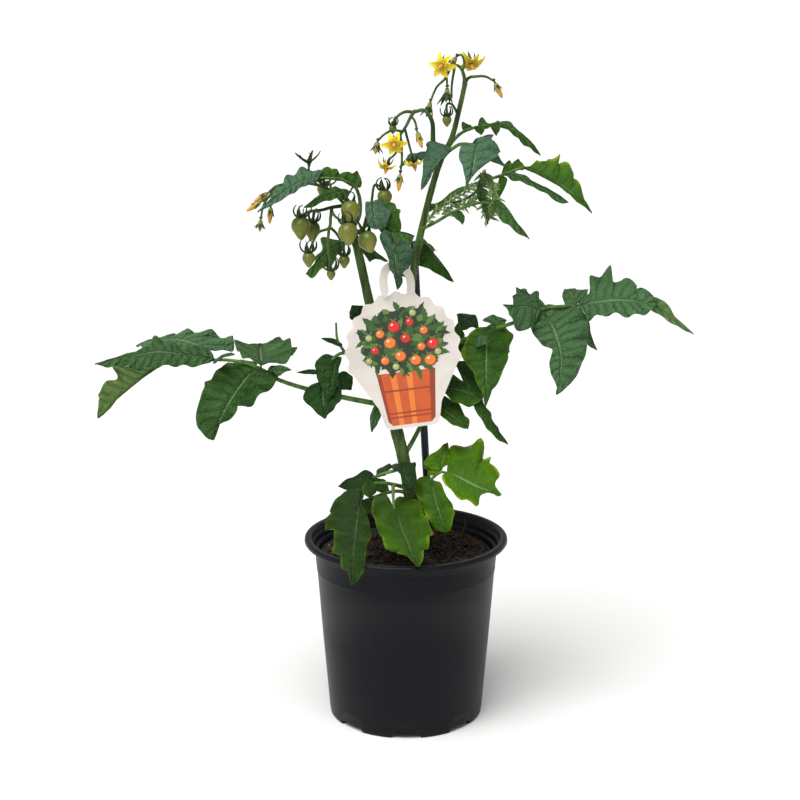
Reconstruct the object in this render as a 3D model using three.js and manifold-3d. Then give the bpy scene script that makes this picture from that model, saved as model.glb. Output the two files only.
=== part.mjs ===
import * as THREE from 'three';
import { mergeVertices } from 'three/addons/utils/BufferGeometryUtils.js';
import Module from 'manifold-3d';

const wasm = await Module();
wasm.setup();

// Driving dimensions, millimetres. The pot stands on z = 0 and its axis is the z axis.
const pot = {
  height: 130, rimRadius: 71.5, mouthRadius: 66.5, lipDrop: 4, lipWall: 1.6, ledgeDrop: 9,
  wallRadius: 64.8, baseRadius: 54.5, wall: 1.8, stepDrop: 18, stepDepth: 0.8, ease: 1,
  footHeight: 3.5, footWall: 5, floorLift: 2, padRadius: 20, padSlope: 3, notches: 8,
  notchWidth: 20, notchHeight: 5.8, notchLow: 3.5, sides: 32,
};
const soil = { drop: 12, crown: 5, shoulderRadius: 38, clearance: 0.3, sides: 20 };
const stake = { radius: 2.7, sides: 8, ends: [[20.8, 62, -11], [5, 338, -11]] };
const gap = 0.3; // between a piece and what carries it
const blade = { thickness: 0.8, stalk: 1.3 };
const petal = { thickness: 0.7 };

// Hand-read places are given as they look from the front: [across, up, toward]. The viewpoint is
// in front of the pot, so a point moved toward it keeps its place in the front view.
const viewpoint = new THREE.Vector3(-4.2, -1041, 470);
const spot = ([across, up, toward = 0]) => {
  const flat = new THREE.Vector3(across, 0, up);
  return flat.lerp(viewpoint, toward / -viewpoint.y);
};
const facing = ([right, up, toward]) => new THREE.Vector3(right, -toward, up).normalize();

const colours = {
  leaf: 0x3f6b32, stem: 0x6d8a3c, truss: 0x55753a, fruit: 0x9bb35a,
  petal: 0xf2d21c, pot: 0x222427, soil: 0x33271f, stake: 0x1a1d26, card: 0xf2efe6,
};
const finish = (colour, roughness) =>
  new THREE.MeshStandardMaterial({ color: colour, roughness, metalness: 0 });
const finishes = {
  leaf: finish(colours.leaf, 0.6), stem: finish(colours.stem, 0.6), truss: finish(colours.truss, 0.6),
  fruit: finish(colours.fruit, 0.3), petal: finish(colours.petal, 0.55),
  pot: finish(colours.pot, 0.45), soil: finish(colours.soil, 0.95),
  stake: finish(colours.stake, 0.5), card: finish(colours.card, 0.5),
};

// A closed solid from a geometry: shared corners welded, flat triangles dropped.
function solidOf(geometry) {
  const bare = geometry.clone();
  bare.deleteAttribute('normal');
  bare.deleteAttribute('uv');
  const welded = mergeVertices(bare, 1e-4);
  const corners = welded.index.array;
  const kept = [];
  for (let i = 0; i < corners.length; i += 3) {
    const [a, b, c] = [corners[i], corners[i + 1], corners[i + 2]];
    if (a !== b && b !== c && c !== a) kept.push(a, b, c);
  }
  const vertProperties = Float32Array.from(welded.attributes.position.array);
  const triVerts = Uint32Array.from(kept);
  return new wasm.Manifold(new wasm.Mesh({ numProp: 3, vertProperties, triVerts }));
}

const join = (solids) => solids.reduce((whole, next) => whole.add(next));

// The largest body of a solid, without the scraps that a cut leaves.
function largest(solid) {
  const bodies = solid.decompose();
  return bodies.reduce((best, body) => (body.volume() > best.volume() ? body : best));
}

const plant = new THREE.Group();

function addPiece(name, solid, material) {
  const mesh = solid.getMesh();
  const geometry = new THREE.BufferGeometry();
  const positions = Float32Array.from(mesh.vertProperties);
  geometry.setAttribute('position', new THREE.BufferAttribute(positions, 3));
  geometry.setIndex(new THREE.BufferAttribute(Uint32Array.from(mesh.triVerts), 1));
  geometry.computeVertexNormals();
  const piece = new THREE.Mesh(geometry, material);
  piece.name = name;
  plant.add(piece);
}

// A smooth tapering stalk through the points: a cylinder bent along their curve.
function stalkSolid(points, startRadius, endRadius, { sides = 6, steps = 6, grow = 0 } = {}) {
  const curve = new THREE.CatmullRomCurve3(points, false, 'centripetal');
  const { tangents, normals, binormals } = curve.computeFrenetFrames(steps, false);
  const shape = new THREE.CylinderGeometry(endRadius + grow, startRadius + grow, 1, sides, steps);
  const place = shape.attributes.position;
  for (let i = 0; i < place.count; i += 1) {
    const along = place.getY(i) + 0.5;
    const step = Math.round(along * steps);
    const centre = curve.getPointAt(Math.min(1, Math.max(0, along)));
    if (step === 0) centre.addScaledVector(tangents[0], -grow);
    if (step === steps) centre.addScaledVector(tangents[steps], grow);
    centre.addScaledVector(binormals[step], place.getX(i));
    centre.addScaledVector(normals[step], place.getZ(i));
    place.setXYZ(i, centre.x, centre.y, centre.z);
  }
  const solid = solidOf(shape);
  return solid.volume() > 0 ? solid : solidOf(flipped(shape));
}

function flipped(geometry) {
  const turned = geometry.clone();
  const corners = turned.index.array;
  for (let i = 0; i < corners.length; i += 3) {
    [corners[i + 1], corners[i + 2]] = [corners[i + 2], corners[i + 1]];
  }
  return turned;
}

// A thin plate over rows of [left, middle, right] points, both faces split alike.
function plateSolid(rows, lift) {
  const places = [];
  const corners = [];
  const add = (point) => places.push(point.x, point.y, point.z) / 3 - 1;
  const grid = rows.map((row) => row.map((point) => ({
    top: add(point.clone().addScaledVector(lift, 0.5)),
    low: add(point.clone().addScaledVector(lift, -0.5)),
  })));
  const face = (a, b, c) => {
    corners.push(a.top, b.top, c.top, a.low, c.low, b.low);
  };
  const edge = (a, b) => {
    corners.push(a.top, b.low, b.top, a.top, a.low, b.low);
  };
  for (let i = 0; i + 1 < grid.length; i += 1) {
    const [here, next] = [grid[i], grid[i + 1]];
    face(here[0], here[1], next[0]);
    face(here[1], next[1], next[0]);
    face(here[1], here[2], next[1]);
    face(here[2], next[2], next[1]);
    edge(next[0], here[0]);
    edge(here[2], next[2]);
  }
  const [first, last] = [grid[0], grid[grid.length - 1]];
  edge(first[0], first[1]);
  edge(first[1], first[2]);
  edge(last[2], last[1]);
  edge(last[1], last[0]);
  const geometry = new THREE.BufferGeometry();
  geometry.setAttribute('position', new THREE.Float32BufferAttribute(places, 3));
  geometry.setIndex(corners);
  const solid = solidOf(geometry);
  return solid.volume() > 0 ? solid : solidOf(flipped(geometry));
}

const lobePeak = 0.66; // where a lobe is widest, as a share of its own length
const plainPeak = 0.4; // where a leaflet without lobes is widest

// Half width of a leaflet at a share of its length, as a share of its half width. Lobes lean
// toward the tip, with a notch between each two.
function leafletHalf(share, lobes, cut) {
  const body = Math.sin(Math.PI * share ** 0.72) ** 0.8;
  const phase = (share * lobes) % 1;
  const bump = phase < lobePeak ? phase / lobePeak : (1 - phase) / (1 - lobePeak);
  return body * (lobes > 1 ? 1 - cut + cut * bump : 1);
}

// Even steps along one side of a leaflet, from its [distance along, reach aside] points.
function leafletEdge(points, length, steps) {
  const line = [[0, 0], ...points, [length, 0]].map(([x, y]) => new THREE.Vector3(x, y, 0));
  return new THREE.CatmullRomCurve3(line, false, 'centripetal').getSpacedPoints(steps);
}

// One leaflet with its short stalk from a point inside the leaf stalk. Its two sides follow its
// own outline where it has one, or else a lobed shape of its width.
function leafletSolid(leaflet, root) {
  const { at, tip, width, arch = 0.08, face = [0, 1, 0.6], fold = 0.15, skew = 0 } = leaflet;
  const { lobes = 3, cut = 0.3, sweep = 0.3, heart = 0.2, bend = 0, left, right } = leaflet;
  const base = spot(at);
  const along = spot(tip).sub(base);
  const length = along.length();
  along.normalize();
  const side = new THREE.Vector3().crossVectors(facing(face), along).normalize();
  const up = new THREE.Vector3().crossVectors(along, side);
  const centreAt = (share) => base.clone()
    .addScaledVector(along, length * share)
    .addScaledVector(side, bend * length * 4 * share * (1 - share))
    .addScaledVector(up, arch * length * 4 * share * (1 - share));
  const beside = (centre, sign, reach) => centre.clone()
    .addScaledVector(side, sign * reach)
    .addScaledVector(up, -fold * Math.abs(sign) * reach);
  const addRow = (centre, half, lean = 0) => {
    rows.push([-1, 0, 1].map((sign) => {
      const reach = half * (1 + sign * skew);
      return beside(centre, sign, reach).addScaledVector(along, Math.abs(sign) * lean * reach);
    }));
  };
  const rows = [];
  addRow(root, blade.stalk / 2);
  if (root.distanceTo(base) > 2 * blade.stalk) addRow(base, blade.stalk / 2);
  if (left) {
    const steps = 2 * lobes;
    const [one, two] = [right, left].map((points) => leafletEdge(points, length, steps));
    for (let i = 1; i < steps; i += 1) {
      rows.push([
        beside(centreAt(one[i].x / length), -1, one[i].y), centreAt(i / steps),
        beside(centreAt(two[i].x / length), 1, two[i].y),
      ]);
    }
  } else {
    const shares = [];
    for (let i = 0; i < lobes; i += 1) shares.push((i + lobePeak) / lobes, (i + 1) / lobes);
    shares.pop();
    for (const share of lobes > 1 ? shares : [plainPeak]) {
      const half = Math.max(blade.stalk / 2, (width / 2) * leafletHalf(share, lobes, cut));
      const lean = sweep * Math.min(1, 2 - 2 * share) - (heart + sweep) * (1 - share) ** 3;
      addRow(centreAt(share), half, lean);
    }
  }
  addRow(base.clone().addScaledVector(along, length), 0.5);
  return plateSolid(rows, up.clone().multiplyScalar(blade.thickness));
}

// The point of a chain of straight lines that lies nearest to another point.
function nearestOn(points, target) {
  let best = points[0];
  for (let i = 0; i + 1 < points.length; i += 1) {
    const line = new THREE.Line3(points[i], points[i + 1]);
    const found = line.closestPointToPoint(target, true, new THREE.Vector3());
    if (found.distanceTo(target) < best.distanceTo(target)) best = found;
  }
  return best;
}

function leafSolid({ stalks, leaflets }) {
  const chains = stalks.map(({ points }) => {
    const curve = new THREE.CatmullRomCurve3(points.map(spot), false, 'centripetal');
    return curve.getSpacedPoints(12);
  });
  const tubes = stalks.map(({ points, from = 1.7, to = 0.9, steps = 5 }) =>
    stalkSolid(points.map(spot), from, to, { sides: 5, steps }));
  const blades = leaflets.map((leaflet) => {
    const base = spot(leaflet.at);
    const roots = chains.map((chain) => nearestOn(chain, base));
    const root = roots.reduce((best, next) =>
      (next.distanceTo(base) < best.distanceTo(base) ? next : best));
    return leafletSolid(leaflet, root);
  });
  return join([...tubes, ...blades]);
}

// Pot

// A turned solid: the profile's [radius, height] points, from axis to axis.
function turnedSolid(profile, sides) {
  const outline = profile.map(([radius, height]) => new THREE.Vector2(radius, height));
  const shape = new THREE.LatheGeometry(outline, sides);
  shape.rotateX(Math.PI / 2);
  const solid = solidOf(shape);
  return solid.volume() > 0 ? solid : solidOf(flipped(shape));
}

const wallRadiusAt = (height) => {
  const share = height / (pot.height - pot.lipDrop);
  return pot.baseRadius + (pot.wallRadius - pot.baseRadius) * share;
};

function potSolid() {
  const stepHeight = pot.height - pot.stepDrop;
  const ledge = pot.height - pot.ledgeDrop;
  const lipLow = pot.height - pot.lipDrop;
  const floorTop = pot.footHeight + pot.wall;
  const inner = (height) => wallRadiusAt(height) - pot.wall - pot.stepDepth;
  const shell = turnedSolid([
    [0, 0], [pot.padRadius, 0], [pot.padRadius + pot.padSlope, pot.floorLift],
    [pot.baseRadius - pot.footWall, pot.floorLift],
    [pot.baseRadius - pot.footWall + pot.ease, 0], [pot.baseRadius, 0],
    [wallRadiusAt(stepHeight) - pot.stepDepth, stepHeight],
    [wallRadiusAt(stepHeight), stepHeight + pot.ease], [wallRadiusAt(lipLow), lipLow],
    [pot.rimRadius - pot.lipWall, lipLow], [pot.rimRadius, lipLow + pot.ease],
    [pot.rimRadius, pot.height - pot.ease], [pot.rimRadius - pot.ease, pot.height],
    [pot.mouthRadius, pot.height], [pot.mouthRadius - pot.stepDepth, ledge],
    [inner(ledge), ledge - pot.ease], [inner(floorTop), floorTop], [0, floorTop],
  ], pot.sides);
  const notches = [];
  for (let i = 0; i < pot.notches; i += 1) {
    const notch = new THREE.BoxGeometry(pot.footWall * 3, pot.notchWidth, pot.notchHeight);
    notch.translate(pot.baseRadius, 0, pot.notchLow - pot.notchHeight);
    notch.rotateZ(((i + 1) / pot.notches) * Math.PI * 2 - Math.PI / 2);
    notches.push(solidOf(notch));
  }
  return shell.subtract(join(notches));
}

// Soil: a low crowned plug, with plain holes for the stem and the stake.
function soilSolid(holes) {
  const top = pot.height - soil.drop;
  const floorTop = pot.footHeight + pot.wall + soil.clearance;
  const edge = (height) => wallRadiusAt(height) - pot.wall - pot.stepDepth - 2 * soil.clearance;
  const plug = turnedSolid([
    [0, floorTop], [edge(floorTop), floorTop], [edge(top) - pot.ease, top],
    [soil.shoulderRadius, top + soil.crown * 0.6], [0, top + soil.crown],
  ], soil.sides);
  return plug.subtract(join(holes));
}

// Stem and stake

const stems = {
  main: {
    points: [[4, 60, 2], [6, 111, 2], [3.5, 156, 2], [-1.5, 185, 3], [-6.5, 206, 3], [-13, 231, 2],
      [-19, 267, 0], [-27, 305, -2], [-31, 324, -2], [-35, 342, -2], [-38, 358, -2]],
    from: 5.8, to: 2.6, steps: 11,
  },
  right: {
    points: [[-9, 212, 3], [-8, 222, 3], [-3, 263, 3], [3, 301, 3], [5, 318, 2], [10, 344, 0],
      [16, 369, -1], [23, 392, -1], [30, 406, 0], [35, 425, 0], [39, 443, 0]],
    from: 3.6, to: 1.5, steps: 11,
  },
};
const stemSolid = (grow) => join(Object.values(stems).map(({ points, from, to, steps }) =>
  stalkSolid(points.map(spot), from, to, { sides: 7, steps, grow })));
const stakeSolid = (grow) => stalkSolid(stake.ends.map(spot), stake.radius, stake.radius,
  { sides: stake.sides, steps: 1, grow });

const stem = stemSolid(0);
const stemSpace = stemSolid(gap);
const stakeSpace = stakeSolid(gap);

addPiece('pot', potSolid(), finishes.pot);
addPiece('soil', soilSolid([stemSpace, stakeSpace]), finishes.soil);
addPiece('stake', stakeSolid(0), finishes.stake);
addPiece('stem', stem, finishes.stem);

// Leaves: each has its stalks and its leaflets, placed by eye from the front and by depth.

const leaves = {
  leaf_front_left: {
    stalks: [
      { points: [[3, 163, 2], [-2, 165, 14], [-9, 167, 23], [-16, 168, 28], [-28, 167, 30]], from: 1.8 },
      { points: [[-9, 167, 23], [-9, 158, 30], [-8, 148, 33]], from: 1.4, steps: 3 },
    ],
    leaflets: [
      { at: [-31, 164, 30], tip: [-39, 92, 72], face: [-0.2, 0.5, 1], lobes: 4, fold: 0.1, bend:
        0.01, left: [[4.8, 2], [11.4, 1.1], [18.1, 4.2], [26.1, 7.8], [33.3, 9.9], [38.9, 9.7],
        [41.8, 7.7], [47.3, 7.9], [53.9, 8.1], [60.5, 7], [65.8, 4.1]], right: [[0.7, 8.4],
        [1.5, 13.3], [8.8, 17.3], [15.5, 22.4], [17.5, 19.3], [21.3, 19.9], [30.2, 23],
        [31.3, 15.9], [36.7, 15.2], [46.4, 16.3], [49.1, 13.2], [47.8, 9.9], [53.8, 9.3],
        [59, 7.4], [57.7, 5.1], [61.6, 2.7], [66.1, 0.9]] },
      { at: [-8, 148, 33], tip: [8, 107, 75], face: [0.1, 0.7, 1], lobes: 4, fold: 0.08, bend:
        -0.02, left: [[-13.7, 4], [-16.6, 8.7], [-10.5, 14.3], [0, 18.8], [9.8, 18.7],
        [16.4, 20.5], [19.6, 19.2], [25.6, 19.8], [30.6, 18.1], [31.9, 16.3], [37.3, 14.3],
        [41.4, 11.1], [36.9, 10.7], [42.3, 8.3], [47.1, 5.7], [49.7, 2.9]], right: [[-14.6, 1],
        [-28.6, 3.2], [-30.6, 7.5], [-21.4, 11.8], [-9.6, 14.6], [2.5, 15.2], [14.1, 14.9],
        [19.7, 13.9], [26.9, 14.9], [33.1, 14.8], [32, 12], [31.2, 9.7], [35, 9.9], [38.6, 8],
        [41.8, 4.7], [46.4, 2.3]] },
      { at: [-1, 166, 17], tip: [0, 160, 36], width: 12, face: [0.5, 0.6, 0.8], lobes: 1 },
      { at: [-26, 170, 28], tip: [-25, 157, 38], face: [0, 0.6, 1], lobes: 1, left: [[1.8, 3.3],
        [6.9, 5.1], [11.3, 3.5]], right: [[2.2, 3.2], [6.9, 5.1], [11.6, 3.3]] },
    ],
  },
  leaf_front_right: {
    stalks: [
      { points: [[6, 152, 2], [12, 161, 8], [18, 171, 14], [25, 176, 16], [29, 175, 17]], from: 1.7 },
    ],
    leaflets: [
      { at: [18, 170, 14], tip: [29, 131, 36], face: [-0.1, 0.6, 1], lobes: 2, fold: 0.1, bend:
        -0.03, left: [[1.8, 2.8], [4, 6.4], [9.6, 6.9], [15, 8.2], [20.3, 9.6], [25.6, 10.1],
        [28, 9.6], [29.9, 7.5], [33.9, 6.4], [37.8, 3.4]], right: [[-4.1, 3], [-4.8, 8],
        [-0.4, 11.7], [7.3, 12.5], [14.5, 11.4], [21, 9.9], [27.1, 8.2], [32.6, 6.6], [37, 4.1]]
        },
      { at: [29, 176, 17], tip: [67, 159, 40], face: [0.1, 1, 1.1], lobes: 4, fold: 0.06, bend:
        -0.06, left: [[-5, 5.5], [-8.8, 11.6], [-11.7, 16.8], [-9.9, 22.7], [-6.4, 27.3],
        [-2.6, 30.6], [1.1, 29.3], [4.5, 31.4], [7.4, 35.4], [10.4, 33.8], [12.1, 28.6],
        [13.4, 25.3], [17.4, 25.8], [21.8, 25.5], [23.1, 23.3], [23.3, 20.4], [27.7, 20.2],
        [32.3, 18.1], [33.6, 14.4], [32.2, 10.4], [32.8, 8.7], [37.2, 5.2]], right: [[-2.2, 4.5],
        [0.7, 6.8], [8.8, 9.7], [16.4, 11.9], [23.4, 12.6], [29.1, 13], [32.7, 13], [32.8, 10.4],
        [30, 7.3], [31.5, 4], [35.1, 1.4], [39.2, 1.2], [43, 2]] },
      { at: [24, 177, 16], tip: [29, 197, -10], face: [0.2, 1, 0.8], lobes: 2, left: [[1.2, 7.4],
        [1.2, 11.6], [6.6, 12], [10.7, 10], [13.9, 7.1], [19.6, 4.5], [25.5, 2.4]],
        right: [[3.1, 1.3], [5.8, 3.6], [11.1, 4.1], [16.6, 2.8], [23.1, 1.5]] },
      { at: [24, 177, 15], tip: [13, 182, 4], width: 13, face: [0, 1, 0.6], lobes: 2 },
    ],
  },
  leaf_low_dark: {
    stalks: [
      { points: [[0, 181, 3], [-3, 180, 12], [-8, 177, 17], [-15, 175, 17], [-23, 172, 12]], from: 1.6 },
    ],
    leaflets: [
      { at: [-3, 181, 13], tip: [2, 163, 31], face: [0, 0.8, 0.9], lobes: 1, arch: 0.14,
        left: [[-15.7, 3], [-1.4, 5.4], [-0.9, 10.3], [7.9, 7.7], [15.8, 6.9], [20.4, 4]],
        right: [[-9.1, 4.5], [-6.1, 8.3], [2.3, 6.7], [6.7, 3.3], [12.4, 2.5], [18.7, 1.9]] },
      { at: [-23, 172, 12], tip: [-47, 165, 6], face: [0, 1, 0.8], lobes: 1, fold: 0.12,
        left: [[-0.4, 2], [2.7, 7.1], [9.9, 8.8], [15.8, 7.4], [22.2, 3.8]], right: [[0.9, 4.3],
        [4.4, 7.2], [8.6, 6.4], [15.4, 3.6], [21.1, 2.4]] },
      { at: [-12, 177, 17], tip: [-20, 177, 2], width: 13, face: [0, 0.9, 1], lobes: 1 },
    ],
  },
  leaf_low_back: {
    stalks: [
      { points: [[4, 158, 2], [-4, 162, -6], [-13, 161, -10], [-22, 158, -8], [-30, 155, -4]], from: 1.5 },
    ],
    leaflets: [
      { at: [-30, 155, -4], tip: [-58, 139, 6], width: 15, face: [0, 1, 0.6], lobes: 3 },
      { at: [-20, 158, -8], tip: [-34, 140, 18], width: 12, face: [-0.3, 1, 0.6], lobes: 1 },
      { at: [-14, 161, -10], tip: [-30, 176, -36], width: 15, face: [0, 1, 0.2], lobes: 2 },
    ],
  },
  leaf_left_big: {
    stalks: [
      { points: [[-12, 224, 2], [-25, 226, 3], [-45, 230, 6], [-70, 236, 13], [-90, 243, 21],
        [-99, 249, 25], [-111, 254, 29], [-124, 256, 30], [-134, 256, 31]], from: 2, to: 1, steps: 8 },
    ],
    leaflets: [
      { at: [-103, 251, 27], tip: [-134, 199, 50], face: [0.3, 1, 0.9], lobes: 4, fold: 0.1, bend:
        -0.05, left: [[-1.9, 7.3], [-4.8, 11.9], [-2, 14.9], [4.8, 16.9], [10.3, 15.5],
        [14.8, 13.9], [19.5, 13.9], [23.8, 13.5], [26.6, 10.7], [26.8, 7], [28.8, 6.2],
        [32.8, 7.3], [38.5, 6.4], [41.8, 4.3], [43.4, 0.6], [47.2, 0.6], [49.7, 0.6],
        [52.9, 0.6]], right: [[-2.9, 2.7], [-0.8, 8.1], [1.9, 14.5], [4, 14.1], [6.1, 18.3],
        [11.9, 18], [17.2, 19.8], [22.2, 19.7], [26.5, 21.7], [28.6, 19.7], [34, 19.7],
        [40.5, 19.4], [44.3, 18.4], [49.2, 17], [53.5, 14.5], [56.3, 10.3], [57.6, 4.4]] },
      { at: [-100, 252, 26], tip: [-100, 267, -16], face: [-0.1, 1, 0.9], arch: 0.02, fold: -0.22,
        left: [[9.3, 6.3], [16.4, 11.5], [28.6, 15.4], [42.1, 17.3], [44, 12.9], [39.2, 6.8]],
        right: [[-1.8, 5], [-4.4, 10.5], [-3.3, 16.2], [1.7, 21.4], [5.5, 25.5], [10.9, 24.7],
        [8.6, 22.5], [23.4, 21.6], [37.1, 18.3], [35.9, 16.5], [40.3, 14.3], [36.2, 11.7],
        [35.5, 5.8]] },
      { at: [-96, 248, 25], tip: [-79, 249, 36], face: [0, 1, 1.2], lobes: 1, left: [[2, 4.2],
        [7.9, 4], [15.2, 2.5]], right: [[5.7, 1.4], [12.5, 4.1], [17.3, 1.8]] },
      { at: [-19, 225, 3], tip: [-24, 205, 8], width: 7, face: [0, 0.5, 1], lobes: 1 },
      { at: [-135, 262, 22], tip: [-185, 265, -8], face: [0.1, 1, 0.5], arch: 0.12, fold: 0.1,
        left: [[2.3, 5], [7.8, 9.7], [16.4, 13], [30.1, 14.3], [44.2, 10.4]], right: [[-4.1, 3.9],
        [-6.8, 10.3], [-7.2, 17], [-5.2, 22.5], [-2.6, 24], [0.2, 22.6], [3.8, 23.7], [5.8, 21],
        [11.3, 21.3], [11.2, 17.4], [15.5, 16.9], [19.2, 14.1], [28.7, 14.9], [28, 10.3],
        [34.9, 10.4], [39.9, 7.5], [44.3, 3.7], [51.7, 1.1]] },
      { at: [-132, 256, 31], tip: [-214, 252, 34], face: [0.1, 1, 0.7], lobes: 4, arch: 0.12,
        fold: 0.2, left: [[5.9, 4.8], [15.4, 7.7], [25, 9.7], [34.7, 10.8], [44.5, 11], [56, 8.8],
        [67.1, 5.5]], right: [[2.4, 6.8], [7.7, 10.4], [14.7, 9.2], [19.8, 8], [24.6, 10.7],
        [29.5, 16.5], [34.1, 15.8], [40.3, 17.8], [42, 14], [41.5, 8.2], [46.9, 7.8], [51.4, 5.4],
        [57.2, 2.6], [62.5, 0.6], [68.1, 0.6], [70, 0.6]] },
      { at: [-169, 253, 36], tip: [-214, 215, 50], face: [-0.2, 0.5, -1], arch: 0.06, fold: 0.04,
        left: [[5.4, 3.8], [13, 10.5], [20.4, 17.7], [25, 21.9], [24.8, 16.9], [27.6, 13.6],
        [31.6, 15.2], [36, 15.2], [40.8, 14.8], [44.4, 14.2], [45, 9.5], [48.3, 7], [51.9, 3.8]],
        right: [[7.4, 0.6], [15.8, 0.6], [24.7, 0.6], [34, 0.9], [42.8, 1.6], [49.2, 1.6]] },
      { at: [-132, 255, 31], tip: [-118, 260, 50], width: 9, face: [0, 1, 0.5], lobes: 1 },
    ],
  },
  leaf_left_small: {
    stalks: [
      { points: [[-20, 258, 0], [-32, 258, 3], [-42, 261, 6], [-48, 259, 11], [-55, 250, 16],
        [-58, 241, 18]], from: 1.5, to: 0.9, steps: 6 },
      { points: [[-42, 261, 6], [-47, 270, 9], [-48, 282, 10]], from: 1.1, to: 0.7, steps: 2 },
      { points: [[-22, 258, 1], [-28, 272, 2], [-30, 284, 2]], from: 1.1, to: 0.7, steps: 2 },
    ],
    leaflets: [
      { at: [-48, 258, 10], tip: [-54, 228, 30], face: [0.3, 0.4, 1], lobes: 2,
        left: [[-1.7, 3.6], [3.7, 3.5], [8.4, 2.6], [13.8, 3.2], [18.6, 4.6], [23.4, 3.5],
        [28.9, 2]], right: [[0.5, 7.6], [5.3, 11.8], [11.6, 13.6], [15, 11.6], [19.2, 10.1],
        [24.2, 6.9], [28.4, 3.8]] },
      { at: [-58, 241, 17], tip: [-56, 214, 32], face: [-0.1, 0.7, 1], lobes: 2,
        left: [[2.3, 7.3], [5.2, 12.5], [11.3, 12], [15.6, 11], [18.8, 8], [22.1, 5.6],
        [24.5, 2.6]], right: [[1.1, 6.4], [4.1, 11.4], [9, 13.8], [14.5, 12.2], [18.8, 8.4],
        [22.7, 5.4], [25.1, 2.9]] },
      { at: [-59, 247, 16], tip: [-75, 247, 13], width: 4.5, face: [0, 1, 0.7], lobes: 1 },
      { at: [-47, 246, 4], tip: [-38, 235, 4], width: 13, face: [0, 0.2, 1], lobes: 1 },
      { at: [-44, 267, 8], tip: [-58, 271, 14], width: 6, face: [0, 1, 0.7], lobes: 1 },
      { at: [-30, 284, 2], tip: [-37, 294, 4], width: 12, face: [0, 0.3, 1], lobes: 1 },
    ],
  },
  leaf_right_big: {
    stalks: [
      { points: [[-3, 260, 3], [14, 263, 1], [34, 268, -7], [55, 276, -15], [76, 283, -20],
        [95, 292, -22], [117, 294, -24]], from: 2, to: 1, steps: 8 },
    ],
    leaflets: [
      { at: [93, 290, -22], tip: [104, 231, 6], face: [-0.2, 0.8, 1], lobes: 4, fold: 0.1, bend:
        0.12, left: [[-5.1, 6], [-3.5, 11.9], [-1.4, 18.2], [1.3, 23.5], [5.7, 25.9],
        [11.9, 25.2], [20.2, 22.6], [27.4, 20.3], [34.3, 17.8], [40.9, 15.3], [47.3, 12.8],
        [52.7, 9.3], [57.1, 6], [60.4, 2.8]], right: [[0.7, 7], [6.4, 12.4], [11.8, 14.3],
        [17.5, 13.8], [23.5, 11.4], [27.1, 8.1], [29.7, 4.8], [33.3, 6.4], [38.6, 7.9], [45, 6.8],
        [51.4, 4.1], [56.6, 0.6], [59.2, 0.6]] },
      { at: [92, 291, -21], tip: [66, 294, -14], face: [0.1, 1, 0.9], lobes: 1,
        left: [[6.2, 12.1], [10.7, 18], [15.8, 17.8], [20.6, 15.7], [23, 11.3], [23.6, 6.6],
        [23.6, 3.5]], right: [[5.6, 3.8], [12, 2.7], [17, 0.6], [22.8, 0.6]] },
      { at: [94, 292, -23], tip: [75, 306, -46], face: [0.1, 1, 0.9], lobes: 2, left: [[5.7, 6.9],
        [9.6, 12.7], [14.8, 13.9], [22, 10.5], [25, 7.8], [23.9, 6.4]], right: [[1.8, 2.5],
        [7.1, 3.7], [10.2, 3.5], [14.3, 7.1], [17.8, 6.3], [16.2, 1.5], [18.4, 0.6], [24.6, 3.6],
        [26.7, 2.5], [25.5, 0.6], [22.9, 0.6]] },
      { at: [117, 294, -24], tip: [171, 296, -14], face: [0, 1, 0.85], lobes: 4, arch: 0.1, fold:
        0.08, bend: -0.04, left: [[5.2, 6.1], [7.9, 11.4], [8.4, 19.3], [8.3, 25.3], [11.8, 28.6],
        [16, 32.5], [20.2, 34.9], [23.4, 34.5], [23.4, 29.5], [23.2, 23.5], [27.4, 23.6],
        [32.9, 21.8], [38.5, 19.3], [40.9, 16.4], [39.2, 13.4], [37.2, 8.9], [40.6, 11],
        [45.3, 11.7], [50.1, 10.1], [53.4, 6.1]], right: [[4.7, 7.4], [8, 12.7], [12.5, 11.7],
        [18.8, 10.8], [27, 11], [35.9, 11.7], [43.3, 10.7], [49.3, 8.2], [53.4, 4.4]] },
      { at: [116, 295, -24], tip: [108, 304, -42], face: [0.1, 1, 0.9], lobes: 1,
        left: [[-4.8, 3], [-1.8, 6.2], [3.4, 7], [10.2, 5.5], [15.6, 3.1]], right: [[3.3, 7.5],
        [13.4, 15.1], [28.6, 18.9], [25.8, 14.9], [16.1, 7.9], [21, 8.1], [25.1, 8], [19, 3],
        [16, 0.6]] },
      { at: [166, 297, -17], tip: [197, 274, -4], face: [0.3, 0.6, -1], lobes: 2, arch: 0.03,
        fold: 0.06, left: [[3.2, 4.4], [9.4, 4.8], [17.6, 4.2], [25.3, 3.8], [32.4, 2.2]],
        right: [[2.4, 6.9], [6.6, 6.9], [10.9, 6.5], [15.8, 4.6], [21.4, 1.3], [28.9, 0.6]] },
      { at: [115, 292, -24], tip: [131, 263, -18], face: [-0.3, 0.7, 0.8], lobes: 2,
        left: [[13.1, 4.1], [20.5, 1.6], [26.4, 0.6]], right: [[16.4, 1.7], [24.4, 4.4],
        [28.5, 3.4]] },
      { at: [55, 279, -14], tip: [55, 223, 12], face: [0.4, 0.7, 1], fold: 0.1, bend: -0.03,
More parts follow.
